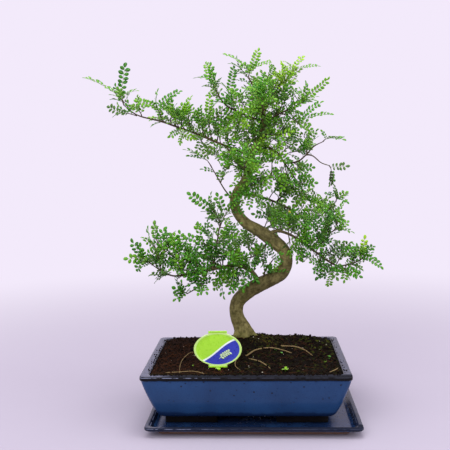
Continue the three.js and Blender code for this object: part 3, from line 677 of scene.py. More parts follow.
def fibre_skin(count, seed, x_range, y_range):
    """Peat fibres: short bent threads that lie on the crumbs. The second value is a thread's own."""
    source, x, y = scatter(count, seed, x_range, y_range)
    way = source.uniform(0, 2 * np.pi, count)
    bend = source.uniform(-1.4, 1.4, count)
    length = source.uniform(5, 20, count)
    share = np.linspace(0, 1, 6)[None, :]
    heading = way[:, None] + bend[:, None] * share
    px = x[:, None] + length[:, None] * share * np.cos(heading)
    py = y[:, None] + length[:, None] * share * np.sin(heading)
    px = np.clip(px, -FIBRES_WITHIN[0], FIBRES_WITHIN[0])
    py = np.clip(py, -FIBRES_WITHIN[1], FIBRES_WITHIN[1])
    lift = 0.5 + source.uniform(0, 2.4, (count, 1)) * np.sin(np.pi * share)
    centres = columns_of(px, py, crumbled(px, py) + lift)
    radii = np.broadcast_to(source.uniform(0.14, 0.34, (count, 1)), (count, 6))
    values = columns_of(0.0, source.uniform(0, 1, count), 0.0)[:, None, None]
    return tubes(centres, radii, 4, values)


fibres = join_skins([fibre_skin(420, seed=41, x_range=(-163, -40), y_range=(-118, 70)),
                     fibre_skin(300, seed=42, x_range=(-60, 163), y_range=(-118, 118))])
print("points of fibres:", len(fibres["points"]))

# %% [markdown]
# ## Colour of the peat
# Moist peat is nearly black between its crumbs and red brown where fibres dry on
# top, most of all at the left end of the pot. Green algae grow near the trunk and
# along the front.

# %% Peat materials
def peat():
    """Dark between crumbs, red brown in dry patches to the left, green at the front and by the trunk."""
    shade = Shader("peat")
    where = shade.place()
    x, y = (part / MM for part in shade.along(where)[:2])
    fine = shade.noise(where, 2.0, 5, 0.7)
    patch = shade.noise(where, 26, 3)
    left = 1 - (x + (patch - 0.5) * 120).step(-110, 10)
    dry = (left * 0.75 + 0.04) * fine.step(0.35, 0.7)
    colour = shade.mix(fine.step(0.25, 0.75), srgb(4, 3, 2), srgb(22, 17, 11))
    colour = shade.mix(dry, colour, srgb(48, 25, 14))
    front = (1 - y.step(-114, -96)) * (1 - x.step(-60, 40)) * 0.8
    behind = x.step(0, 30) * y.step(0, 30) * 0.8
    damp = shade.noise(where, 9, 2).step(0.52, 0.68) * (1 - left) + front
    colour = shade.mix(damp * (behind + 0.5) * fine.step(0.3, 0.8), colour, srgb(76, 86, 16))
    mossy = x.between(-4, 12, 40, 90) * y.step(16, 40)
    colour = shade.mix(mossy * fine.step(0.48, 0.7) * 0.6, colour, srgb(126, 120, 40))
    relief = shade.bump(fine + patch * 0.4, 0.9, 1.4)
    return shade.finish(Base_Color=colour, Roughness=0.78 + fine * 0.2, Normal=relief,
                        Specular_IOR_Level=0.06)


def crumb_paint():
    """A crumb's own tone: brown by its first value, white perlite at 1."""
    shade = Shader("crumb_paint")
    tone = shade.along(shade.attribute("values"))[0]
    fine = shade.noise(shade.place(), 1.2, 3)
    colour = shade.mix(tone * 2, srgb(5, 4, 3), srgb(36, 24, 15))
    colour = shade.mix(tone.step(0.7, 0.9), colour, srgb(205, 198, 176))
    colour = shade.mix(fine * 0.5, colour, srgb(14, 9, 7))
    return shade.finish(Base_Color=colour, Roughness=0.85 + fine * 0.1, Normal=shade.bump(fine, 0.5, 0.4),
                        Specular_IOR_Level=0.06)


def fibre_paint():
    """Red brown threads, each with its own lightness."""
    shade = Shader("fibre_paint")
    own = shade.along(shade.attribute("values"))[1]
    fine = shade.noise(shade.place(), 1.5, 2)
    colour = shade.mix(own * 0.7 + fine * 0.3, srgb(22, 12, 8), srgb(92, 54, 30))
    return shade.finish(Base_Color=colour, Roughness=0.7 + fine * 0.2, Specular_IOR_Level=0.1)


peat_material, crumb_material, fibre_material = peat(), crumb_paint(), fibre_paint()
add_piece("peat", soil_top, peat_material, ["soil"])
add_piece("peat_crumbs", soil_loose, crumb_material)
add_piece("peat_fibres", fibres, fibre_material)
print("triangles so far:", triangle_total["all"])

# %% [markdown]
# ## The wood
# Trunk, limbs and roots are one growth. Each follows a smooth curve through points that were chosen from
# the photograph, given as x, y, z and radius. A tube along the curve gets a collar where a limb leaves the
# wood, slow swellings and fine bark ridges. Four short flares lead from the foot of the trunk into the
# soil.

# %% Routes of trunk, limbs and roots
TRUNK = [(-3, 62, 62, 13), (-3, 62, 100, 20), (-4, 62, 118, 18.8), (-7, 62, 130, 16.4),
    (-12, 62, 145, 14), (-20, 61, 172, 12.4), (-17, 58, 194, 12.8), (3, 54, 215, 14), (26, 51, 228, 14.4),
    (49, 49, 239, 13.8), (68, 48, 251, 13.2), (77, 49, 272, 11.2), (72, 52, 293, 11.4),
    (56, 56, 309, 12.6), (27, 62, 330, 11.6), (-1, 67, 347, 10.4), (-17, 70, 368, 9.8),
    (-21, 70, 387, 9.6), (-14, 69, 405, 10), (3, 65, 429, 9), (11, 62, 458, 7.6), (14, 61, 478, 7),
    (30, 62, 510, 6.2), (37, 63, 540, 5), (36, 62, 568, 4.2), (29, 61, 592, 3.4)]
LIMBS = {
    "left_high": [(12, 62, 474, 4), (-10, 58, 484, 3.4), (-48, 50, 499, 3), (-81, 42, 514, 2.7),
        (-121, 36, 529, 2.4), (-154, 34, 541, 2.1), (-199, 34, 554, 1.6), (-223, 36, 572, 1.2)],
    "left_low": [(24, 51, 230, 5.5), (11, 46, 254, 4.6), (-21, 30, 269, 4), (-49, 18, 266, 3.6),
        (-71, 8, 265, 3.2), (-114, 0, 256, 2.6), (-135, -4, 256, 2.1), (-155, -8, 266, 1.7),
        (-173, -10, 279, 1.2)],
    "left_low_rise": [(-62, 12, 265, 2.4), (-57, 14, 286, 2), (-51, 17, 324, 1.6), (-46, 20, 352, 1.2)],
    "left_low_upper": [(-114, 0, 257, 2), (-123, 6, 278, 1.8), (-144, 10, 301, 1.5),
        (-162, 12, 315, 1.1)],
    "left_low_hanging": [(-71, 8, 264, 2), (-78, 0, 245, 1.8), (-93, -8, 232, 1.5),
        (-107, -14, 224, 1.1)],
    "centre_rear": [(44, 60, 314, 2.6), (33, 75, 294, 2.2), (15, 90, 278, 1.9), (-5, 100, 273, 1.6),
        (-25, 108, 284, 1.2)],
    "centre_loop": [(32, 50, 232, 2.4), (37, 36, 259, 1.8), (48, 26, 275, 1.2)],
    "right_low": [(40, 60, 322, 4.4), (60, 52, 331, 3.8), (81, 44, 326, 3.4), (98, 38, 317, 3.1),
        (131, 28, 293, 2.7), (156, 20, 275, 2.3), (172, 16, 268, 2), (189, 14, 271, 1.7),
        (211, 12, 278, 1.2)],
    "right_low_rise": [(104, 37, 312, 2), (126, 30, 316, 1.8), (149, 20, 324, 1.5), (170, 12, 340, 1.1)],
    "right_middle": [(-15, 69, 400, 3.6), (5, 76, 401, 3.2), (45, 92, 389, 2.8), (85, 102, 370, 2.4),
        (120, 104, 348, 2), (149, 100, 357, 1.6), (176, 96, 382, 1.1)],
    "right_high": [(23, 61, 497, 3.2), (42, 66, 491, 2.8), (62, 72, 480, 2.5), (77, 78, 458, 2.1),
        (92, 82, 436, 1.8), (114, 86, 403, 1.2)],
    "right_arm": [(76, 78, 459, 2), (101, 66, 462, 1.9), (117, 56, 475, 1.7), (131, 49, 490, 1.5),
        (147, 44, 498, 1.1)],
    "right_droop": [(117, 56, 475, 1.6), (129, 60, 472, 1.5), (145, 66, 459, 1.3), (161, 70, 453, 1.1)],
    "left_middle": [(5, 63, 444, 2.4), (-8, 72, 451, 2.1), (-23, 82, 457, 1.8), (-48, 96, 471, 1.2)],
    "left_thin": [(-22, 70, 387, 2), (-40, 50, 414, 1.7), (-51, 44, 434, 1.4), (-61, 40, 453, 1.1)],
    "upper_left": [(36, 63, 536, 3), (16, 64, 546, 2.6), (-7, 62, 556, 2.3), (-32, 58, 569, 2),
        (-43, 55, 582, 1.7), (-55, 52, 608, 1.2)],
    "apex_left": [(29, 61, 590, 2.4), (19, 60, 603, 1.9), (10, 58, 622, 1.2)],
    "apex_right": [(37, 62, 558, 2.8), (50, 70, 579, 2.3), (64, 76, 599, 1.8), (87, 81, 625, 1.2)],
    "upper_right": [(36, 63, 530, 3), (55, 54, 545, 2.4), (79, 44, 557, 1.8), (101, 36, 565, 1.2)],
    "back_high": [(18, 62, 486, 3.2), (24, 96, 492, 2.6), (32, 132, 496, 1.9), (36, 156, 505, 1.2)],
    "back_top": [(36, 62, 556, 2.4), (32, 92, 566, 2), (26, 122, 580, 1.5), (24, 140, 592, 1.1)],
    "back_low": [(30, 61, 328, 3), (42, 92, 334, 2.4), (54, 124, 338, 1.8), (60, 146, 346, 1.2)],
    "front_high": [(8, 62, 446, 2.8), (2, 36, 448, 2.3), (0, 8, 452, 1.7), (4, -14, 462, 1.2)],
    "front_top": [(36, 63, 548, 2.2), (36, 34, 554, 1.8), (36, 8, 562, 1.4), (34, -10, 572, 1.1)]}
ROOTS = [
    [(-3, 60, 92, 6), (-8, 22, 102, 3), (0, -14, 107.5, 2), (17, 0, 114.3, 1.8), (46, 11, 115, 1.6),
     (69, 10, 110.5, 1.4), (92, 2, 104, 1)],
    [(2, 60, 92, 6), (44, 40, 110, 3), (73, 29, 113.5, 1.8), (94, 32, 111, 1.7), (110, 22, 107, 1.5),
     (124, 0, 101, 1)],
    [(-6, 56, 92, 5), (-2, 0, 98, 3), (10, -30, 105, 1.8), (24, -40, 104, 1.6), (38, -66, 102.5, 1.3),
     (47, -84, 99, 1)]]
# where the foot of the trunk swells into roots that go down at once
FLARES = [[(-9, 62, 160, 6), (-2, 61, 144, 8.5), (6, 59, 132, 8.5), (15, 57, 124, 6.5), (26, 54, 112, 3)],
          [(-9, 61, 156, 6), (-6, 57, 143, 8.5), (-4, 50, 132, 8), (-1, 41, 124, 6), (3, 31, 112, 3)],
          [(-13, 61, 156, 6), (-15, 59, 143, 8), (-19, 54, 132, 7), (-25, 47, 124, 5), (-33, 40, 112, 2.5)],
          [(-10, 63, 156, 6), (-10, 68, 143, 8), (-12, 77, 132, 7), (-15, 87, 124, 5), (-17, 97, 112, 2.5)]]


print("limbs:", len(LIMBS), "roots:", len(ROOTS), "flares:", len(FLARES))


# %% A curve through points, and a bark tube along it
def curve_through(points, places):
    """The centripetal Catmull-Rom curve through the points, at places counted in points."""
    known = np.asarray(points, float)
    known = np.vstack([2 * known[0] - known[1], known, 2 * known[-1] - known[-2]])
    place = np.clip(np.asarray(places, float), 0, len(points) - 1)
    first = np.minimum(place.astype(int), len(points) - 2)
    share = (place - first)[:, None]
    p0, p1, p2, p3 = (known[first + i] for i in range(4))
    d0, d1, d2 = (np.linalg.norm((b - a)[:, :3], axis=1, keepdims=True) ** 0.5
                  for a, b in ((p0, p1), (p1, p2), (p2, p3)))
    out = ((p1 - p0) / d0 - (p2 - p0) / (d0 + d1) + (p2 - p1) / d1) * d1
    into = ((p2 - p1) / d1 - (p3 - p1) / (d1 + d2) + (p3 - p2) / d2) * d1
    curve = (p1 + out * share + (3 * (p2 - p1) - 2 * out - into) * share ** 2
             + (2 * (p1 - p2) + out + into) * share ** 3)
    radius = p1[:, 3:] + (p2 - p1)[:, 3:] * share
    return np.hstack([curve[:, :3], radius])


def limb_skin(points, spacing, around, seed, ridge, collar=0.0, slim=1.0):
    """A bark tube: radius * (1 + slow oval swelling) + fine ridges, wider in a collar at its root.

    Its values are the ridge, the girth and, on roots, a 1 that is set afterwards."""
    rough_length = np.linalg.norm(np.diff(np.asarray(points)[:, :3], axis=0), axis=1).sum()
    rows = max(int(rough_length / spacing), 8)
    path = curve_through(points, np.linspace(0, len(points) - 1, rows))
    centres, radius = path[None, :, :3], path[None, :, 3] * slim
    walked = np.linspace(0, rough_length, rows)
    root = points[0][3]
    radius = radius + collar * root * np.exp(-walked / (2.6 * root))
    radius[:, -1] *= 0.6
    angle, walked = turns(around), walked[:, None]
    swelling = 0.05 * np.sin(2 * angle + walked / 31 + seed) + 0.03 * np.sin(3 * angle - walked / 19)
    wood = columns_of(np.cos(angle) * radius[0][:, None], np.sin(angle) * radius[0][:, None], walked * 0.45)
    bark = ridge * (0.6 * rough(wood, 4.2, seed) + 0.4 * rough(wood * (1, 1, 3.0), 9.0, seed + 1))
    radii = radius[0][:, None] * (1 + swelling) + bark
    values = np.zeros((1, rows, around, 3))
    values[..., 0] = (bark / max(ridge, 0.01))[None] * 0.5 + 0.5
    values[..., 1] = np.clip(radius / 14, 0, 1)[..., None]
    return tubes(centres, radii[None], around, values)


trunk_skin = limb_skin(TRUNK, spacing=1.5, around=56, seed=7, ridge=0.42)
limb_skins = [limb_skin(points, spacing=2.2, around=14, seed=50 + i, ridge=0.14, collar=0.85, slim=0.76)
              for i, points in enumerate(LIMBS.values())]
flare_skins = [limb_skin(points, spacing=1.8, around=20, seed=110 + i, ridge=0.3)
               for i, points in enumerate(FLARES)]
root_skins = [limb_skin(points, spacing=2.4, around=12, seed=90 + i, ridge=0.16, slim=0.64)
              for i, points in enumerate(ROOTS)]
for skin in root_skins:
    skin["values"][:, 2] = 1.0
print("limbs:", len(limb_skins), "trunk points:", len(trunk_skin["points"]))

# %% [markdown]
# ## Bark
# Olive to khaki bark, smooth but mottled, with darker rings and blotches, painted shade at two bends of the
# trunk and in the grooves between its ridges, green algae in blotches and at the foot, and thinner limbs
# that are darker and browner.
# The roots on the soil are straw yellow.

# %% Bark material
def bark():
    """Mottled khaki on thick wood with painted shade at two bends and in the grooves, dark brown on thin
    limbs, straw on roots, green low down.
    """
    shade = Shader("bark")
    where = shade.place()
    height = shade.along(where)[2] / MM
    relief, girth, root = shade.along(shade.attribute("values"))
    mottle = shade.noise(where, 10, 5, 0.68)
    fine = shade.noise(where, 2.6, 4, 0.7)
    rings = shade.noise(shade.place((0.35, 0.35, 1.7)), 7, 3)
    thick = shade.mix(mottle.step(0.32, 0.68), srgb(84, 78, 42), srgb(140, 132, 82))
    thick = shade.mix(rings.step(0.54, 0.72) * 0.3, thick, srgb(56, 50, 28))
    thick = shade.mix(fine.step(0.56, 0.76) * 0.4, thick, srgb(168, 156, 110))
    # the trunk darkened at two bends, 190 to 295 and 296 to 346 mm up: painted shade
    thick = shade.mix(height.between(190, 230, 255, 295) * 0.35, thick, srgb(54, 46, 26))
    thick = shade.mix(height.between(296, 320, 324, 346) * 0.35, thick, srgb(48, 48, 28))
    thin = shade.mix(mottle, srgb(44, 37, 27), srgb(98, 84, 58))
    colour = shade.mix(girth.step(0.1, 0.32), thin, thick)
    mossy = (1 - height.step(108, 150)) + height.between(345, 375, 440, 480)
    algae = shade.noise(where, 20, 3).step(0.4, 0.62) * mossy
    algae = algae + shade.noise(where, 17, 3).step(0.58, 0.7) * 0.5
    colour = shade.mix(algae * 0.45, colour, srgb(82, 98, 34))
    colour = shade.mix((1 - height.step(112, 140)) * mottle * 0.8, colour, srgb(112, 116, 30))
    # darker in the grooves between the bark's ridges: painted shade
    colour = shade.mix((1 - relief.step(0.2, 0.5)) * 0.4, colour, srgb(54, 47, 28))
    straw = shade.mix(fine, srgb(92, 74, 46), srgb(160, 138, 96))
    colour = shade.mix(root * 0.92, colour, straw)
    normal = shade.bump(mottle * 0.5 + fine * 0.6 + rings * 0.4, 0.55, 0.9)
    return shade.finish(Base_Color=colour, Roughness=0.6 + fine * 0.25, Normal=normal,
                        Specular_IOR_Level=0.12)


bark_material = bark()
wood_skin = join_skins([trunk_skin, *flare_skins, *limb_skins, *root_skins])
add_piece("wood", wood_skin, bark_material, ["trunk"])
print("triangles so far:", triangle_total["all"])

# %% [markdown]
# ## The leafy shoots
# A leaf of this tree is a feather: a thin rachis with three to ten pairs of small
# oval leaflets and one at the end. Leaves stand round their stem by the golden
# angle. The rule that placed the plain leaves of the solids is used again here
# for the first leaves of every shoot, and the finer ones fill in round them.

# %% Shoots
# each shoot's limb, its place there counted in points, its tip, and the ends of leaves that stand out
SHOOTS = {
    "left_high_tip": ("left_high", 7, (-230, 36, 588), [(-299, 30, 625, 0.18), (-219, 40, 649, 1),
        (-195, 20, 597)]),
    "left_high_outer": ("left_high", 4.9, (-160, 14, 568), [(-155, 8, 595), (-194, 0, 577),
        (-112, 20, 595)]),
    "left_high_under": ("left_high", 4.5, (-137, 66, 558), [(-152, 80, 578)]),
    "left_high_mid": ("left_high", 3.9, (-111, 20, 553), [(-101, 0, 569)]),
    "left_high_lower": ("left_high", 3.1, (-79, 66, 498), [(-100, 74, 514)]),
    "left_high_inner": ("left_high", 2.4, (-65, 16, 548), [(-60, 6, 583)]),
    "left_high_back": ("left_high", 2.1, (-46, 100, 533), []),
    "left_high_front": ("left_high", 1.7, (-20, 6, 471), []),
    "left_low_tip": ("left_low", 8, (-187, -16, 291), [(-216, -22, 291), (-205, -20, 323),
        (-200, -6, 268)]),
    "left_low_outer": ("left_low", 7, (-163, -38, 319), [(-171, -48, 349), (-142, -40, 346)]),
    "left_low_rear": ("left_low_upper", 3, (-169, 28, 321), [(-173, 50, 344)]),
    "left_low_top": ("left_low", 5.2, (-121, -30, 303), [(-132, -38, 335)]),
    "left_rise_mid": ("left_low_rise", 1.4, (-79, -6, 316), [(-85, -14, 352)]),
    "left_rise_tip": ("left_low_rise", 3, (-61, 14, 377), [(-103, 0, 408), (-77, -6, 395)]),
    "left_rise_back": ("left_low_rise", 2.5, (-34, 48, 371), [(-52, 40, 402)]),
    "left_low_front": ("left_low", 4.4, (-86, -50, 286), []),
    "left_low_under": ("left_low_hanging", 1.4, (-77, -28, 242), [(-79, -44, 231)]),
    "left_low_hang": ("left_low_hanging", 3, (-113, -20, 228), [(-127, -44, 240), (-119, -30, 217)]),
    "left_low_heart": ("left_low", 2.8, (-38, -14, 300), []),
    "centre_high": ("centre_rear", 2.3, (2, 126, 310), []),
    "centre_back": ("centre_rear", 4, (-44, 134, 296), []),
    "centre_loop": ("centre_loop", 2, (54, 10, 284), [(66, -6, 294)]),
    "right_low_tip": ("right_low", 8, (211, 8, 293), [(249, -4, 266), (218, 0, 322), (237, 16, 303)]),
    "right_low_outer": ("right_low", 6.9, (179, -10, 263), [(207, -30, 255), (207, -2, 261)]),
    "right_low_under": ("right_low", 5.2, (161, 44, 252), [(156, 54, 224), (135, 30, 243)]),
    "right_low_rear": ("right_low", 4.4, (170, 70, 288), []),
    "right_rise_tip": ("right_low_rise", 3, (165, 2, 358), [(183, -14, 390), (175, -20, 355)]),
    "right_rise_front": ("right_low_rise", 1.5, (130, -18, 338), []),
    "right_low_inner": ("right_low", 2.6, (104, 72, 291), [(128, 88, 265)]),
    "right_mid_inner": ("right_middle", 2.2, (44, 62, 356), [(52, 40, 384), (16, 50, 364)]),
    "right_mid_back": ("right_middle", 3.4, (98, 150, 330), []),
    "right_mid_tip": ("right_middle", 6, (178, 92, 392), [(196, 84, 382), (158, 110, 399)]),
    "right_mid_upper": ("right_middle", 4.8, (146, 134, 380), []),
    "right_high_inner": ("right_high", 1.6, (50, 26, 436), []),
    "right_high_tip": ("right_high", 5, (121, 82, 386), []),
    "right_arm_tip": ("right_arm", 4, (152, 38, 503), [(183, 14, 500, 0.3), (145, 36, 516)]),
    "right_arm_mid": ("right_arm", 2, (122, 84, 499), []),
    "right_droop": ("right_droop", 3, (165, 74, 446), [(167, 74, 420)]),
    "left_mid_tip": ("left_middle", 3, (-61, 112, 481), [(-76, 130, 498)]),
    "left_thin_tip": ("left_thin", 3, (-70, 34, 468), [(-111, 20, 488, 0.25), (-104, 24, 476, 0.25)]),
    "left_up_tip": ("upper_left", 5, (-60, 50, 619), [(-89, 46, 621, 0.2), (-60, 46, 645, 1)]),
    "left_up_back": ("upper_left", 3.2, (-29, 90, 597), [(-18, 96, 647, 1)]),
    "left_up_front": ("upper_left", 1.8, (-8, 18, 533), []),
    "apex_tip": ("apex_left", 2, (13, 56, 634), [(30, 54, 672, 1), (-35, 50, 664, 0.2), (52, 44, 646)]),
    "apex_right_tip": ("apex_right", 3, (96, 84, 636), [(114, 90, 660), (145, 80, 641, 0.45),
        (79, 70, 649), (126, 82, 633, 0.85)]),
    "apex_right_front": ("apex_right", 2, (74, 38, 612), []),
    "right_up_tip": ("upper_right", 3, (111, 28, 578), [(157, 16, 613)]),
    "right_up_low": ("upper_right", 1.6, (102, 20, 529), [(164, 10, 546, 0.45), (144, 0, 569, 0.45)]),
    "back_high_tip": ("back_high", 3, (38, 170, 520), []),
    "back_top_tip": ("back_top", 3, (22, 152, 606), []),
    "back_low_tip": ("back_low", 3, (66, 160, 358), []),
    "front_high_tip": ("front_high", 3, (8, -30, 470), []),
    "front_top_tip": ("front_top", 3, (34, -22, 586), [])}
NEW_GROWTH = ("apex_tip", "apex_right_tip", "apex_right_front", "left_up_tip", "right_up_tip",
    "left_high_tip")
# shoots that carry their first leaves only
SPARSE = ("right_droop", "left_up_tip", "left_up_back", "left_thin_tip", "right_arm_tip", "left_high_tip",
    "centre_loop", "right_up_low", "left_low_rear", "apex_right_tip")
SHOOT_LEAVES, RULED_LEAVES = 8, 3
# where leaves are younger and yellower or, with a minus, deeper green, and where they are lighter or darker
# as painted light and shade, such as the lighter leaves in the shade behind the right middle limb and the
# darker ones on the low limbs: the middle, how far it reaches and how much yellower
FRESH_AND_PAINTED_LIGHT_PLACES = (((72, 56, 632), 22.0, 0.62), ((108, 84, 648), 20.0, 0.5), ((10, 10, 520), 62.0, 0.25),
    ((216, 4, 313), 9.0, 0.9), ((-196, 34, 556), 18.0, 0.2), ((150, 30, 290), 80.0, -0.1),
    ((112, 100, 368), 40.0, 0.16), ((-50, 50, 615), 26.0, -0.14), ((-92, -4, 402), 24.0, -0.24),
    ((-140, 20, 552), 42.0, 0.16), ((-110, 0, 290), 70.0, -0.08), ((-219, 40, 630), 26.0, -0.3),
    ((240, 0, 270), 16.0, -0.2))
# the share of its length at which a leaf's own place is taken
TONE_PLACE_SHARE = 0.7
GOLDEN_TURN, GOLDEN_STEP = 2.39996, 0.618034
TREE_AXIS = np.array([20.0, 60.0, 0.0])
UP = np.array([0.0, 0.0, 1.0])
BOW = 0.1


print("shoots:", len(SHOOTS), "with new growth:", len(NEW_GROWTH), "sparse:", len(SPARSE))


# %% Stems as whole arrays
def from_axis(points):
    """Level directions away from the middle of the tree."""
    return unit((points - TREE_AXIS) * (1, 1, 0))


def stem_table(start, tip, group):
    """Stems as whole arrays: start, tip and between them the middle, raised by a tenth of the length."""
    bow = (start + tip) / 2 + UP * BOW * np.linalg.norm(tip - start, axis=1, keepdims=True)
    return {"start": start, "bow": bow, "tip": tip, "group": np.asarray(group)}


def on_stem(stems, place):
    """A point and a direction on each bowed stem: the quadratic curve start, bow, tip."""
    s = np.asarray(place)[:, None]
    start, bow, tip = stems["start"], stems["bow"], stems["tip"]
    point = start * (1 - s) ** 2 + bow * 2 * s * (1 - s) + tip * s ** 2
    return point, unit((bow - start) * (1 - s) + (tip - bow) * s)


def pick(table, chosen):
    """The chosen rows of a table."""
    return {key: column[chosen] for key, column in table.items()}


def stack(*tables):
    """Several tables as one."""
    return {key: np.concatenate([table[key] for table in tables]) for key in tables[0]}


names = list(SHOOTS)
shoot_stems = stem_table(
    np.array([curve_through(LIMBS[limb], [place])[0, :3] for limb, place, _, _ in SHOOTS.values()]),
    np.array([tip for _, _, tip, _ in SHOOTS.values()], float), names)
print("stems of shoots:", len(shoot_stems["group"]))

# %% [markdown]
# ### Side twigs
# Between the shoots, short side twigs leave each limb. They turn round it by the
# golden angle and lean to the light, so that the foliage makes a pad on the upper
# side of a branch and leaves its underside bare. A limb's row gives the shares of
# its length where growth starts and ends, the spacing of twigs and how far they
# lean up.

# %% Where side twigs leave the wood
USUAL_GROWTH = (0.15, 1.0, 21.0, 0.55)
GROWTH = {"left_high": (0.17, 0.72, 18.0, 0.85), "left_low": (0.1, 1.0, 14.0, 0.6),
    "left_low_rise": (0.15, 1.0, 34.0, 0.3), "apex_left": (0.6, 0.9, 40.0, 0.5),
    "left_low_upper": (0.1, 0.8, 24.0, 0.7), "left_low_hanging": (0.0, 0.0, 40.0, 0.0),
    "upper_left": (0.1, 0.95, 24.0, 0.4), "right_low": (0.32, 1.0, 15.0, 0.6),
    "right_low_rise": (0.1, 1.0, 14.0, 0.6), "right_middle": (0.38, 0.88, 18.0, 0.6),
    "front_high": (0.3, 1.0, 30.0, 0.5), "right_high": (0.1, 1.0, 20.0, 0.2),
    "right_arm": (0.2, 0.7, 32.0, 0.3), "right_droop": (0.0, 0.0, 60.0, 0.0),
    "left_thin": (0.6, 1.0, 40.0, 0.2), "left_middle": (0.2, 1.0, 60.0, 0.4),
    "back_high": (0.15, 1.0, 30.0, 0.5), "centre_loop": (0.2, 0.4, 60.0, 0.2)}
CROWN = ("trunk_top", TRUNK[18:], (0.05, 0.84, 7.4, 0.3))
SHORTEST_TWIG, LONGEST_TWIG = 22.0, 50.0
# how much shorter a twig is at the limb's tip
TIP_LOSS = 0.65
TWIG_LEAVES = 6
# more twigs, where the photograph shows denser or single ones: the limb, then each twig's foot and tip
LONE_TWIGS = [
    ("left_high", [((-199, 34, 552), (-228, 28, 558)), ((-214, 35, 566), (-230, 34, 586)),
        ((-190, 34, 552), (-194, 28, 563))]),
    ("right_middle", [((5, 76, 401), (30, 50, 434))]),
    ("left_low_rise", [((-48, 19, 342), (-26, 34, 336))]),
    ("right_middle", [((30, 86, 394), (33, 90, 422))]),
    ("right_low_rise", [((150, 20, 325), (150, 40, 372))]),
    ("right_middle", [((45, 92, 389), (68, 96, 419)), ((60, 95, 384), (90, 74, 411))]),
    ("front_high", [((8, 58, 446), (7, 30, 440)), ((2, 58, 430), (-3, 38, 414)),
        ((3, 60, 429), (16, 40, 406)), ((-8, 60, 414), (-14, 46, 388)), ((-2, 58, 424), (20, 48, 392))]),
    ("right_low", [((85, 42, 324), (92, 30, 344)), ((81, 44, 326), (84, 40, 300)),
        ((98, 38, 317), (104, 20, 302))]),
    ("right_high", [((42, 66, 491), (68, 54, 514)), ((58, 71, 483), (86, 60, 506)),
        ((66, 73, 474), (98, 84, 498))]),
    ("right_low_rise", [((149, 20, 324), (164, 40, 350))]),
    ("right_high", [((77, 78, 458), (80, 60, 435))]),
    ("upper_right", [((60, 52, 548), (78, 46, 518)), ((80, 44, 557), (98, 32, 536)),
        ((52, 56, 543), (72, 74, 520))]),
    ("trunk_top", [((34, 62, 528), (66, 90, 534)), ((31, 62, 512), (64, 30, 510)),
        ((30, 62, 510), (-2, 46, 520)), ((36, 62, 568), (44, 20, 598)), ((36, 62, 566), (76, 40, 596)),
        ((30, 60, 590), (48, 40, 622))]),
    ("upper_right", [((62, 50, 549), (84, 34, 584))]),
    ("apex_right", [((52, 70, 582), (64, 50, 612)), ((66, 76, 600), (80, 50, 614))]),
    ("upper_left", [((-7, 62, 556), (-34, 44, 534)), ((-30, 58, 568), (-54, 62, 546)),
        ((8, 63, 550), (-14, 40, 528)), ((10, 63, 550), (-5, 30, 576))]),
    ("left_low", [((-10, 34, 266), (-36, 28, 244)), ((6, 44, 256), (-24, 52, 238)),
        ((-2, 40, 262), (-30, 60, 256)), ((-98, 2, 259), (-103, -20, 296)), ((11, 46, 254), (0, 30, 274)),
        ((8, 45, 256), (-7, 36, 268)), ((-98, 2, 259), (-109, -30, 314))]),
    ("right_low_rise", [((108, 34, 312), (80, 40, 342))]),
    ("right_low", [((81, 44, 326), (84, 30, 354)), ((70, 48, 329), (62, 44, 352))]),
    ("left_high", [((-121, 36, 529), (-135, 20, 556)), ((-100, 39, 522), (-103, 30, 556)),
        ((-81, 42, 514), (-86, 26, 548))]),
    ("upper_left", [((-20, 60, 562), (-28, 30, 572))]),
    ("left_low", [((-21, 30, 269), (-34, 8, 258)), ((2, 40, 261), (6, 18, 250)),
        ((-30, 25, 268), (-44, 16, 240)), ((-8, 36, 265), (-16, 10, 240))]),
    ("left_low_hanging", [((-85, -4, 238), (-94, -18, 246))]),
    ("right_low", [((110, 35, 310), (118, 16, 306)), ((81, 44, 326), (84, 60, 352))]),
    ("left_high", [((-121, 36, 529), (-112, 20, 510))]),
    ("right_high", [((92, 82, 436), (80, 44, 424)), ((97, 83, 428), (88, 98, 404))]),
    ("right_middle", [((62, 96, 383), (70, 80, 408))]),
    ("left_low_rise", [((-55, 15, 300), (-73, 20, 334))]),
    ("right_low", [((131, 28, 293), (140, 20, 262))])]


print("limbs with their own growth:", len(GROWTH), "lone twigs:", sum(len(t) for _, t in LONE_TWIGS))


# %% Twigs by the rule, and the lone ones
def stations(points, first, last, spacing):
    """Middles, radii and directions every spacing millimetres along a curve, between two shares of it."""
    dense = curve_through(points, np.linspace(0, len(points) - 1, 300))
    walked = np.concatenate([[0], np.cumsum(np.linalg.norm(np.diff(dense[:, :3], axis=0), axis=1))])
    wanted = np.arange(first * walked[-1], last * walked[-1], spacing)
    found = np.stack([np.interp(wanted, walked, dense[:, axis]) for axis in range(4)], -1)
    ahead = np.stack([np.interp(wanted, walked, np.gradient(dense[:, axis])) for axis in range(3)], -1)
    return found[:, :3], found[:, 3], unit(ahead)


def round_about(along, turn):
    """Directions square to along, turned round it: cos * sideways + sin * upward."""
    sideways = unit(np.cross(UP, along))
    return sideways * np.cos(turn)[:, None] + np.cross(along, sideways) * np.sin(turn)[:, None]


def side_twigs(limb, points, growth, seed):
    """The side twigs of one limb as stems."""
    first, last, spacing, lean = growth
    middle, _, along = stations(points, first, last, spacing)
    number = np.arange(len(middle))
    around = round_about(along, GOLDEN_TURN * number + seed)
    way = unit(along * 0.45 + around * 0.75 + UP * lean)
    length = SHORTEST_TWIG + (LONGEST_TWIG - SHORTEST_TWIG) * draw(number * 3 + seed * 11)
    length = length * (1 - TIP_LOSS * np.linspace(0, 1, len(number)) ** 1.5)
    return stem_table(middle, middle + way * length[:, None], [limb] * len(middle))


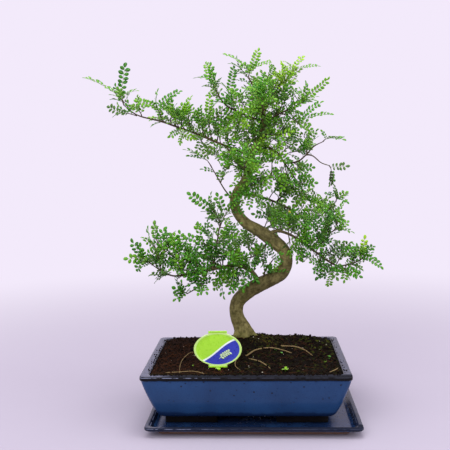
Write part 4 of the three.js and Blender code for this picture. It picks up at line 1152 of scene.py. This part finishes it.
woods = {**{limb: (points, GROWTH.get(limb, USUAL_GROWTH)) for limb, points in LIMBS.items()},
         CROWN[0]: CROWN[1:]}
side_stems = stack(*[side_twigs(limb, points, growth, seed)
                     for seed, (limb, (points, growth)) in enumerate(woods.items())])
lone_limbs = [limb for limb, twigs in LONE_TWIGS for _ in twigs]
lone = np.array([twig for _, twigs in LONE_TWIGS for twig in twigs], float)
side_stems = stack(side_stems, stem_table(lone[:, 0], lone[:, 1], lone_limbs))
print("side twigs:", len(side_stems["group"]))

# %% Where every leaf stands
LIMB_LEAF_SPACING = 24.0
# how far a leaf is turned about that the solids don't have
LOOSE = 1.0
# the shortest leaves of each kind in millimetres, and how much longer the longest are
LEAF_LENGTHS = {"first": (29, 9), "finer": (18, 11), "twig": (17, 13), "limb": (20, 12)}


def leaf_length(kind, numbers):
    """A drawn length for each numbered leaf."""
    shortest, more = LEAF_LENGTHS[kind]
    return shortest + more * draw(numbers)


def freshness_and_painted_light(points):
    """How much yellower leaves are at these points, for young growth and for painted light and shade: a
    bell about each place.
    """
    return sum(gain * np.exp(-((points - np.array(place)) ** 2).sum(-1) / (2 * reach ** 2))
               for place, reach, gain in FRESH_AND_PAINTED_LIGHT_PLACES)


def leaf_table(group, root, along, outward, turn, spread, length, tone, loose, ends=None):
    """Leaves as whole arrays; each leans from its stem by spread, and its upper side looks to the sky.

    A loose leaf is also turned about: loose * (cos 5t, sin 5t - 0.4, 0) is added to where it looks.
    Rows of ends give the point that a leaf reaches, then 0 for a free leaf, 1 for one that faces the
    front, and a share between them for a level leaf: how far its upper side is turned to the front."""
    around = round_about(along, turn)
    spread = spread[:, None]
    pointing = along * np.cos(spread) + around * np.sin(spread) + UP * 0.2
    facing = along * np.sin(spread) - around * np.cos(spread) + UP * 0.9 + outward * 0.5
    facing = facing + loose[:, None] * np.stack([np.cos(5 * turn), np.sin(5 * turn) - 0.4, 0 * turn], -1)
    if ends is not None:
        given = ~np.isnan(ends[:, :1])
        reach = np.nan_to_num(ends[:, :3]) - root
        shown = np.stack([np.sin(turn), np.full_like(turn, -1.5), np.cos(turn)], -1)
        pointing = np.where(given, reach, pointing)
        level, front = (ends[:, 3:] > 0) & (ends[:, 3:] < 1), ends[:, 3:] == 1
        facing = np.where(level, UP + shown * ends[:, 3:], facing + np.where(given, shown * 0.8, 0))
        facing = np.where(front, (0.2, -1.0, 0.1), facing)
        length = np.where(given[:, 0], np.linalg.norm(reach, axis=1), length)
    pointing = unit(pointing)
    facing = unit(facing - pointing * (facing * pointing).sum(-1, keepdims=True))
    # young growth, and painted light and shade by place, shift the leaf's tone
    tone = tone + freshness_and_painted_light(root + pointing * (TONE_PLACE_SHARE * length)[:, None])
    return {"group": group, "root": root, "pointing": pointing, "facing": facing, "length": length,
            "tone": np.clip(tone, 0, 1)}


print("fresh places:", len(FRESH_AND_PAINTED_LIGHT_PLACES))


# %% Leaves of the shoots, the side twigs and the limbs
def shoot_leaves():
    """The first leaves by the rule of the solids, then smaller ones down to near the shoot's foot."""
    shoot = np.repeat(np.arange(len(names)), SHOOT_LEAVES)
    number = np.tile(np.arange(SHOOT_LEAVES), len(names))
    ends = np.full((len(names), SHOOT_LEAVES, 4), np.nan)
    for i, (_, _, _, given) in enumerate(SHOOTS.values()):
        for leaf, end in enumerate(given):
            ends[i, leaf] = (*end, 0)[:4]
    ends = ends.reshape(-1, 4)
    given = ~np.isnan(ends[:, 0])
    step = (number + 1) * GOLDEN_STEP % 1
    ruled = number < RULED_LEAVES
    place = np.where(given, 0.84 + 0.05 * number, np.where(ruled, 0.35 + 0.63 * step, 0.15 + 0.7 * step))
    serial = shoot * 40 + number
    length = np.where(ruled, leaf_length("first", serial), leaf_length("finer", serial))
    stems = pick(shoot_stems, shoot)
    root, along = on_stem(stems, place)
    outward = from_axis(stems["tip"])
    young = np.isin(stems["group"], NEW_GROWTH)
    tone = 0.02 + 0.44 * draw(shoot * 7 + number + 900) + 0.1 * place + young * 0.1
    turn = GOLDEN_TURN * number + 2 * np.pi * draw(shoot + 500)
    table = leaf_table(stems["group"], root, along, outward, turn, 1.25 - 0.7 * place, length, tone,
                       np.where(ruled, 0.0, LOOSE), ends)
    return pick(table, ruled | ~np.isin(stems["group"], SPARSE))


def side_leaves():
    """Leaves of the side twigs, the last of them at the tip."""
    stem = np.repeat(np.arange(len(side_stems["group"])), TWIG_LEAVES)
    number = np.tile(np.arange(TWIG_LEAVES), len(side_stems["group"]))
    stems = pick(side_stems, stem)
    place = 0.3 + 0.7 * number / (TWIG_LEAVES - 1)
    root, along = on_stem(stems, place)
    turn = GOLDEN_TURN * number + 2 * np.pi * draw(stem + 1500)
    length = leaf_length("twig", stem * 5 + number + 300)
    tone = 0.38 * draw(stem * 5 + number + 700) + 0.26 * draw(stem + 60) - 0.02
    return leaf_table(stems["group"], root, along, from_axis(root), turn,
                      1.2 - 0.7 * place, length, tone, np.full(len(length), LOOSE))


def limb_leaves(limb, points, growth, seed):
    """Single leaves that stand on the bark of a limb."""
    middle, radius, along = stations(points, growth[0], growth[1], LIMB_LEAF_SPACING)
    number = np.arange(len(middle))
    turn = GOLDEN_TURN * number + seed + 1.0
    root = middle + round_about(along, turn) * radius[:, None] * 0.5
    tone = 0.05 + 0.4 * draw(number + seed * 19)
    every = np.ones(len(middle))
    return leaf_table(np.full(len(middle), limb), root, along, from_axis(root), turn, every,
                      leaf_length("limb", number * 2 + seed * 23), tone, every * LOOSE)


shoot_rows = shoot_leaves()
limb_rows = stack(side_leaves(), *[limb_leaves(limb, points, growth, seed)
                                   for seed, (limb, (points, growth)) in enumerate(woods.items())])
all_lengths = np.concatenate([shoot_rows["length"], limb_rows["length"]])
print("leaves:", len(all_lengths), "mean length", round(float(all_lengths.mean()), 1), "mm")

# %% [markdown]
# ### Leaflets
# One leaflet is a thin blade: four rings of four points between two end points,
# so it costs 32 triangles. Its half width follows a root of a sine, widest past
# the middle; its edges fold up a little from the midrib, and its end bends down.

# %% Sizes of a leaf, and its rachis
# shares of the leaf's length: its rise, its bare stalk and where the last leaflet stands
ARCH, STALK, LAST = 0.07, 0.12, 0.88
LEAFLET_LENGTH, LEAFLET_WIDTH, LEAF_THICK = 8.2, 5.2, 0.4
LEAFLET_CUP, LEAFLET_BEND = 0.09, 0.12
PAIR_PITCH = 5.9
# few leaflets are old and yellow: the draw past which one is, and what its tone gains
OLD_PAST, OLD_TONE = 0.997, 1.3
HIGH_TIP = np.array(SHOOTS["left_high_tip"][2])
FEWEST_PAIRS, MOST_PAIRS = 3, 10


def on_leaf(table, s):
    """A point of the arched leaf, s along it in millimetres."""
    rise = 4 * ARCH * s * (table["length"] - s) / table["length"]
    return table["root"] + table["pointing"] * s[:, None] + table["facing"] * rise[:, None]


def rachis_skin(table):
    """The leaf's stem: a thin tube through five points of the arched leaf, up to the last leaflet."""
    shares = np.array([0.0, 0.2, 0.42, 0.66, LAST])
    centres = np.stack([on_leaf(table, share * table["length"]) for share in shares], axis=1)
    radii = np.broadcast_to(np.array([0.55, 0.44, 0.38, 0.32, 0.24]), centres.shape[:2])
    return tubes(centres, radii, 3, columns_of(table["tone"], 0.0, 0.5)[:, None, None])


print("the last leaflet stands at", LAST, "of a leaf's length")


# %% Leaflets
def blades(base, axis, normal, length, width, values):
    """Leaflets as whole arrays: base + axis * u * length + side * half width(u) * v, keeled and bent."""
    u = np.array([0.1, 0.36, 0.66, 0.9])
    v = np.array([1.0, 0.0, -1.0, 0.0])
    top = np.array([0.0, 0.5, 0.0, -0.5])
    half = np.sin(np.pi * u ** 1.15) ** 0.62 * 0.5
    side = np.cross(normal, axis)
    size = length[:, None, None, None]
    points = base[:, None, None] + axis[:, None, None] * (u[:, None, None] * size)
    points = points + side[:, None, None] * (half[:, None] * v)[..., None] * width[:, None, None, None]
    cup = LEAFLET_CUP * (half[:, None] * v * 2) ** 2 - LEAFLET_BEND * (u[:, None] ** 2)
    points = points + normal[:, None, None] * (cup[..., None] * size + (top * LEAF_THICK)[None, :, None])
    tip = base + axis * length[:, None] - normal * (LEAFLET_BEND * length[:, None])
    shown = np.broadcast_to(values[:, None, None], (*points.shape[:3], 3)).copy()
    shown[..., 1] = top * 2
    return closed_skin(points, base, tip, shown)


def broadness(points):
    """1 on the low limb to the left and more at the tip of the high one, where leaflets are broad."""
    low_left = np.clip((10 - points[:, 0]) / 60, 0, 1) * np.clip((430 - points[:, 2]) / 60, 0, 1)
    return low_left + 1.6 * np.exp(-((points - HIGH_TIP) ** 2).sum(-1) / (2 * 14.0 ** 2))


def leaflet_skin(table):
    """All leaflets of the leaves in the table: pairs along the rachis and one at its end."""
    count = len(table["length"])
    stalk = STALK * table["length"]
    broad = broadness(table["root"])
    usual = PAIR_PITCH * (1 + 0.2 * broad)
    pairs = np.clip(np.round((LAST - STALK) * table["length"] / usual), FEWEST_PAIRS, MOST_PAIRS)
    pitch = (table["length"] * LAST - stalk) / pairs
    across = np.cross(table["facing"], table["pointing"])
    parts = []
    for pair in range(MOST_PAIRS + 1):
        for side in ((-1, 1) if pair else (0,)):
            here = pair <= pairs
            serial = np.arange(count) * 17 + pair * 2 + side
            s = np.where(pair > 0, stalk + (pair - 0.6 + 0.1 * side) * pitch, table["length"] * LAST)
            slope = 4 * ARCH * (1 - 2 * s / table["length"])
            ahead = unit(table["pointing"] + table["facing"] * slope[:, None])
            up = np.cross(ahead, across)
            lean = abs(side) * (1.12 + 0.3 * (draw(serial) - 0.5))[:, None]
            lift = abs(side) * (0.24 + 0.4 * (draw(serial + 3) - 0.5))[:, None]
            axis = unit(ahead * np.cos(lean) + across * side * np.sin(lean) + up * lift)
            roll = (draw(serial + 5) - 0.5)[:, None] * 0.7
            normal = up + np.cross(axis, up) * roll
            normal = unit(normal - axis * (normal * axis).sum(-1, keepdims=True))
            taper = 0.82 + 0.22 * np.sin(np.pi * (pair - 0.3) / MOST_PAIRS) if pair else 1.05
            scale = taper * np.clip(pitch / usual, 0.75, 1.05) * (0.9 + 0.2 * draw(serial + 9))
            length = LEAFLET_LENGTH * (1 + 0.12 * broad) * scale
            width = LEAFLET_WIDTH * (1 + 0.22 * broad) * scale
            tone = table["tone"] + 0.12 * (draw(serial + 11) - 0.5)
            values = columns_of(tone + OLD_TONE * (draw(serial + 23) > OLD_PAST), 0.0, 0.0)
            parts.append(blades((on_leaf(table, s) + axis * 0.3)[here], axis[here], normal[here],
                                length[here], width[here], values[here]))
    return join_skins(parts)


print("a leaf has", FEWEST_PAIRS, "to", MOST_PAIRS, "pairs of leaflets")


# %% Twigs, and a bunch of foliage
def twig_skin(stems, thick):
    """Twigs as tubes that thin to their tips, with small knees along them."""
    count = len(stems["group"])
    place = np.linspace(0, 1, 9)
    centres = np.stack([on_stem(stems, np.full(count, s))[0] for s in place], axis=1)
    knees = 1 + 0.2 * np.maximum(0, np.sin(place * 34 + np.arange(count)[:, None])) ** 4
    return tubes(centres, (thick - 0.5 * thick * place) * knees, 6, np.array([0.3, 0.0, 1.0]))


def foliage(stems, thick, leaves):
    """Twigs with the leaves that stand on them, as one skin."""
    return join_skins([twig_skin(stems, thick), rachis_skin(leaves), leaflet_skin(leaves)])


sample = leaflet_skin(pick(shoot_rows, shoot_rows["group"] == names[0]))
print("leaflets of the first shoot:", len(sample["triangles"]) // 8)

# %% [markdown]
# ## Leaf colour
# The tone of a leaf goes from deep green to the yellow green of new growth, and in some places it is raised
# or lowered as painted light and shade. The midrib is paler, the underside duller, and the blade shines a
# little.

# %% Leaf material
def leaf_paint(name):
    """Green by tone, pale midrib, dull underside, light shining through; stems by the third value."""
    shade = Shader(name)
    where = shade.place()
    tone, over, woody = shade.along(shade.attribute("values"))
    cloud = shade.noise(where, 14, 3)
    fine = shade.noise(where, 1.6, 2)
    tone = tone + (cloud - 0.5) * 0.3
    green = shade.mix(tone.step(0.0, 0.3), srgb(5, 54, 5), srgb(48, 120, 15))
    green = shade.mix(tone.step(0.25, 0.6), green, srgb(104, 166, 30))
    green = shade.mix(tone.step(0.55, 0.95), green, srgb(152, 200, 30))
    green = shade.mix(tone.step(1.25, 1.4), green, srgb(206, 178, 52))
    green = shade.mix(over.step(0.45, 1.0) * 0.3, green, srgb(118, 176, 62))
    under = 1 - over.step(-0.3, 0.1)
    green = shade.mix(under * 0.4, green, srgb(112, 146, 88))
    green = shade.mix(fine.step(0.6, 0.8) * 0.25, green, srgb(26, 62, 14))
    stem = shade.mix(woody.step(0.5, 0.9), srgb(84, 106, 40), srgb(70, 58, 40))
    colour = shade.mix(woody.step(0.2, 0.4), green, stem)
    rough_value = 0.32 + fine * 0.12 + woody * 0.3
    return shade.finish(Base_Color=colour, Roughness=rough_value, Normal=shade.bump(fine, 0.25, 0.3),
                        Specular_IOR_Level=0.27, Subsurface_Weight=0.4, Subsurface_Scale=0.002,
                        Subsurface_Radius=(0.7, 1.0, 0.3))


def dry_paint():
    """A withered leaf: dark brown with paler patches."""
    shade = Shader("dry_leaf")
    fine = shade.noise(shade.place(), 3, 3)
    colour = shade.mix(fine.step(0.35, 0.7), srgb(16, 12, 12), srgb(52, 40, 32))
    return shade.finish(Base_Color=colour, Roughness=0.7 + fine * 0.2, Normal=shade.bump(fine, 0.6, 0.6))


leaf_material, young_material = leaf_paint("leaf"), leaf_paint("young_leaf")
print("leaf materials:", leaf_material.name, "and", young_material.name)

# %% The foliage of each shoot and each limb
SHOOT_TWIG, SIDE_TWIG = 1.3, 1.1
for index, name in enumerate(names):
    skin = foliage(pick(shoot_stems, [index]), SHOOT_TWIG, pick(shoot_rows, shoot_rows["group"] == name))
    fresh = name in NEW_GROWTH
    add_piece(f"foliage_{name}", skin, young_material if fresh else leaf_material,
              [f"shoot_{name}"])
for limb in woods:
    leaves = pick(limb_rows, limb_rows["group"] == limb)
    if len(leaves["length"]):
        skin = foliage(pick(side_stems, side_stems["group"] == limb), SIDE_TWIG, leaves)
        add_piece(f"foliage_on_{limb}", skin, leaf_material)
print("triangles so far:", triangle_total["all"])

# %% The dry leaf
# it hangs from its root to its end, and its leaflets have curled to half their width
DRY_ROOT, DRY_END = np.array([[165.0, 70.0, 447.0]]), np.array([[164.0, 62.0, 419.0]])
DRY_CURL = (0.5, 0.5, 1.0)
down, none = unit(DRY_END - DRY_ROOT), np.zeros(1)
dry = leaf_table(np.array(["dry"]), DRY_ROOT, down, down, none, none, none, none, none,
                 np.hstack([DRY_END, [[0.0]]]))
curled = join_skins([rachis_skin(dry), leaflet_skin(dry)])
curled["points"] = DRY_ROOT + (curled["points"] - DRY_ROOT) * DRY_CURL
add_piece("dry_leaf", curled, dry_paint())
print("triangles so far:", triangle_total["all"])

# %% [markdown]
# ## The plant label
# An oval plastic plate with a small tab above and below and a spike that holds
# it in the soil. Its print is plain: two fields of green and blue inside a pale
# border, with a simple feathered leaf, and its back is green all over. The plate
# is a polar grid: the outline's radius at each angle, drawn in towards the middle,
# with a raised border.

# %% Label plate and spike
LABEL_AT = np.array([-49.0, -78.0, 137.0])
LABEL_LEAN = 0.1
LABEL_HALF = (42.2, 29.0)
LABEL_TAB = (16.5, 32.0)
LABEL_HALF_THICK = 0.6


def on_label(x, y, depth):
    """From the plate's own plane to its place: leaning back a little, its face to the front."""
    up = np.array([0.0, math.sin(LABEL_LEAN), math.cos(LABEL_LEAN)])
    front = np.array([0.0, -math.cos(LABEL_LEAN), math.sin(LABEL_LEAN)])
    return LABEL_AT + x[..., None] * (1.0, 0.0, 0.0) + y[..., None] * up + depth[..., None] * front


def label_skin(around=160):
    """Rings at shares of the outline: the back, its rounded edge, the raised border and the printed face.

    The first value is 1 on the back, which has no print."""
    cos, sin = np.cos(turns(around)), np.sin(turns(around))
    oval = 1 / np.sqrt((cos / LABEL_HALF[0]) ** 2 + (sin / LABEL_HALF[1]) ** 2)
    tab = np.minimum(LABEL_TAB[0] / np.maximum(np.abs(cos), 1e-6),
                     LABEL_TAB[1] / np.maximum(np.abs(sin), 1e-6))
    radius = np.maximum(oval, tab)
    thick = LABEL_HALF_THICK
    border, face_depth = thick + 0.1, thick - 0.1
    levels = [(0.3, -thick), (0.7, -thick), (0.985, -thick), (0.997, -thick * 0.6), (1.0, 0),
              (0.997, thick * 0.8), (0.985, border), (0.945, border), (0.935, face_depth),
              (0.7, face_depth), (0.3, face_depth)]
    rings = np.stack([on_label(cos * radius * share, sin * radius * share, np.full(around, depth))
                      for share, depth in levels])[None]
    zero = np.zeros(1)
    back, face = on_label(zero, zero, zero - thick), on_label(zero, zero, zero + face_depth)
    values = np.zeros((1, len(levels), 1, 3))
    values[0, :4, 0, 0] = 1.0
    return closed_skin(rings, back, face, values)


def spike_skin():
    """A flat spike: five oval rings that narrow downwards into the soil."""
    down = np.array([-31.0, -35.5, -49.5, -63.5, -76.0])
    half = np.array([4.6, 4.4, 3.0, 1.8, 0.8])
    angle = turns(12)
    x = half[:, None] * np.cos(angle)
    depth = np.broadcast_to(-np.sin(angle) * LABEL_HALF_THICK, x.shape)
    rings = on_label(x, np.broadcast_to(down[:, None], x.shape), depth)[None][:, ::-1]
    return closed_skin(rings, rings[:, 0].mean(axis=1), rings[:, -1].mean(axis=1), np.zeros(3))


label_plate = join_skins([label_skin(), spike_skin()])
print("label is", round(float(np.ptp(label_plate["points"][:, 0])), 1), "mm wide")

# %% Label print
def label_print():
    """Green above and blue below a slanting wave, and a pale border, by distance in the oval."""
    shade = Shader("label_print")
    x, _, z = shade.along(shade.place())
    across = (x / MM - LABEL_AT[0]) / LABEL_HALF[0]
    upward = (z / MM - LABEL_AT[2]) / LABEL_HALF[1]
    radius = (across * across + upward * upward) ** 0.5
    wave = across * 0.62 - upward * 0.8 - 0.06 + (across * 3.1).math("SINE") * 0.11
    side = wave.step(-0.012, 0.012)
    line = wave.math("ABSOLUTE").step(0.035, 0.055)
    fine = shade.noise(shade.place(), 5, 3)
    green = shade.mix(fine, srgb(142, 206, 22), srgb(166, 222, 44))
    blue = shade.mix(fine, srgb(22, 36, 150), srgb(36, 54, 176))
    field = shade.mix(side, green, blue)
    field = shade.mix(1 - line, field, srgb(226, 238, 226))
    tab = upward.math("ABSOLUTE").step(0.985, 0.995)
    border = radius.step(0.9, 0.915) * (1 - tab)
    colour = shade.mix(border, field, srgb(186, 224, 120))
    plain = shade.along(shade.attribute("values"))[0].step(0.4, 0.6)
    colour = shade.mix(tab + plain, colour, green)
    return shade.finish(Base_Color=colour, Roughness=0.24 + fine * 0.08, Normal=shade.bump(fine, 0.1, 0.3))


print("the print spans", 2 * LABEL_HALF[0], "by", 2 * LABEL_HALF[1], "mm")


# %% Printed sprig
def sprig_paint():
    """Pale green ink for the printed sprig."""
    shade = Shader("sprig_ink")
    fine = shade.noise(shade.place(), 2, 2)
    ink = shade.mix(fine, srgb(176, 206, 150), srgb(206, 226, 184))
    return shade.finish(Base_Color=ink, Roughness=0.4 + fine * 0.1)


def on_sprig(share):
    """A place on the sprig's stem in the plate's plane, a shallow arc up to the right."""
    return 2 + 19 * share, -17 + 17 * share - 5 * share ** 2


def sprig_skin():
    """A printed feathered leaf: a thin stem and pairs of oval leaflets pressed almost flat on the plate."""
    centres = on_label(*on_sprig(np.linspace(0, 1, 9)), np.full(9, LABEL_HALF_THICK))[None]
    threads = tubes(centres, np.full((1, 9), 0.45), 6, np.zeros(3))
    place = np.repeat(np.linspace(0.2, 0.9, 5), 2)
    side = np.tile([1.0, -1.0], 5)
    zero = np.zeros_like(place)
    base = on_label(*on_sprig(place), zero + LABEL_HALF_THICK)
    heading = 0.55 + side * 1.0
    axis = unit(on_label(np.cos(heading), np.sin(heading), zero) - LABEL_AT)
    front = np.broadcast_to(on_label(zero[:1], zero[:1], zero[:1] + 1)[0] - LABEL_AT, axis.shape)
    flat = blades(base, axis, front, np.full(10, 6.4), np.full(10, 4.2), np.zeros((10, 3)))
    proud = (flat["points"] - LABEL_AT) @ front[0] - LABEL_HALF_THICK
    flat["points"] -= proud[:, None] * front[0] * 0.75
    return join_skins([threads, flat])


add_piece("label_plate", label_plate, label_print(), ["label"])
add_piece("label_sprig", sprig_skin(), sprig_paint())
print("triangles so far:", triangle_total["all"])

# %% [markdown]
# ## Small growth on the soil
# A seedling stands in front, and two smaller ones to the left of the label and at
# the right end. Thin roots cross the soil, and some dropped leaflets lie on it.

# %% Seedlings, thin roots and dropped leaflets
THIN_ROOTS = [
    [(-96, 22, 100, 0.9), (-104, 15, 106, 0.8), (-116, -19, 104.5, 0.7), (-118, -62, 103, 0.6),
     (-115, -97, 100, 0.5)],
    [(-14, -20, 101, 0.9), (-18, -36, 106, 0.8), (-19, -66, 103.5, 0.7), (-9, -84, 100, 0.5)],
    [(140, -96, 99, 0.8), (154, -92, 103.5, 0.8), (160, -80, 103, 0.7), (158, -70, 99, 0.5)],
    [(-150, -96, 100, 0.7), (-120, -104, 104, 0.6), (-88, -100, 104, 0.6), (-62, -112, 100, 0.5)]]
# each seedling's place, its height and the length of its longest leaf
SEEDLINGS = [((68, -91), 4.5, 8.5), ((-96, -66), 1.5, 4.0), ((142, -40), 1.2, 3.0)]


def seedling_skin(spot, height, longest_leaf):
    """A short stem with six round leaves, each turned on from the one before and a little shorter."""
    x, y = spot
    ground = float(crumbled(np.array([float(x)]), np.array([float(y)]))[0])
    rise = np.linspace(-8, height, 7)
    centres = columns_of(x + 0.02 * rise ** 2 / 2, float(y), ground + rise)[None]
    stem = tubes(centres, np.full((1, 7), 0.7), 6, np.array([0.8, 0.0, 0.5]))
    turn = np.arange(6) * 2.4 + x
    lift = np.where(np.arange(6) % 2, 0.5, 0.2)
    axis = unit(np.stack([np.cos(turn), np.sin(turn), lift], -1))
    normal = unit(UP - axis * axis[:, 2:])
    base = np.repeat(centres[:, -1], 6, axis=0) - UP * (np.arange(6) * height * 0.09)[:, None]
    size = longest_leaf * (1 - 0.07 * np.arange(6))
    values = np.tile([0.72, 0.0, 0.0], (6, 1))
    return join_skins([stem, blades(base, axis, normal, size, size * 0.74, values)])


def dropped_leaflets(count=7, seed=61):
    """Leaflets that lie flat on the crumbs, some of them a yellower green."""
    source, x, y = scatter(count, seed, (-150, 150), (-112, 60))
    turn = source.uniform(0, 2 * np.pi, count)
    tilt = source.normal(0, 0.2, (count, 2))
    axis = unit(np.stack([np.cos(turn), np.sin(turn), tilt[:, 0]], -1))
    normal = unit(np.column_stack([tilt, np.ones(count)]))
    normal = unit(normal - axis * (normal * axis).sum(-1, keepdims=True))
    base = np.stack([x, y, crumbled(x, y) + 2.0], -1)
    size = source.uniform(5, 8, count)
    values = columns_of(source.uniform(0, 0.4, count), 0.0, 0.0)
    return blades(base, axis, normal, size, size * 0.75, values)


young_plants = [seedling_skin(*plant) for plant in SEEDLINGS]
add_piece("seedling_plant", young_plants[0], young_material, ["seedling"])
add_piece("weeds", join_skins(young_plants[1:]), young_material)
add_piece("dropped_leaflets", dropped_leaflets(), leaf_material)
thin = join_skins([limb_skin(points, spacing=1.6, around=8, seed=70 + i, ridge=0.08)
                   for i, points in enumerate(THIN_ROOTS)])
thin["values"][:, 2] = 1.0
add_piece("thin_roots", thin, bark_material)
print("triangles in all:", triangle_total["all"])
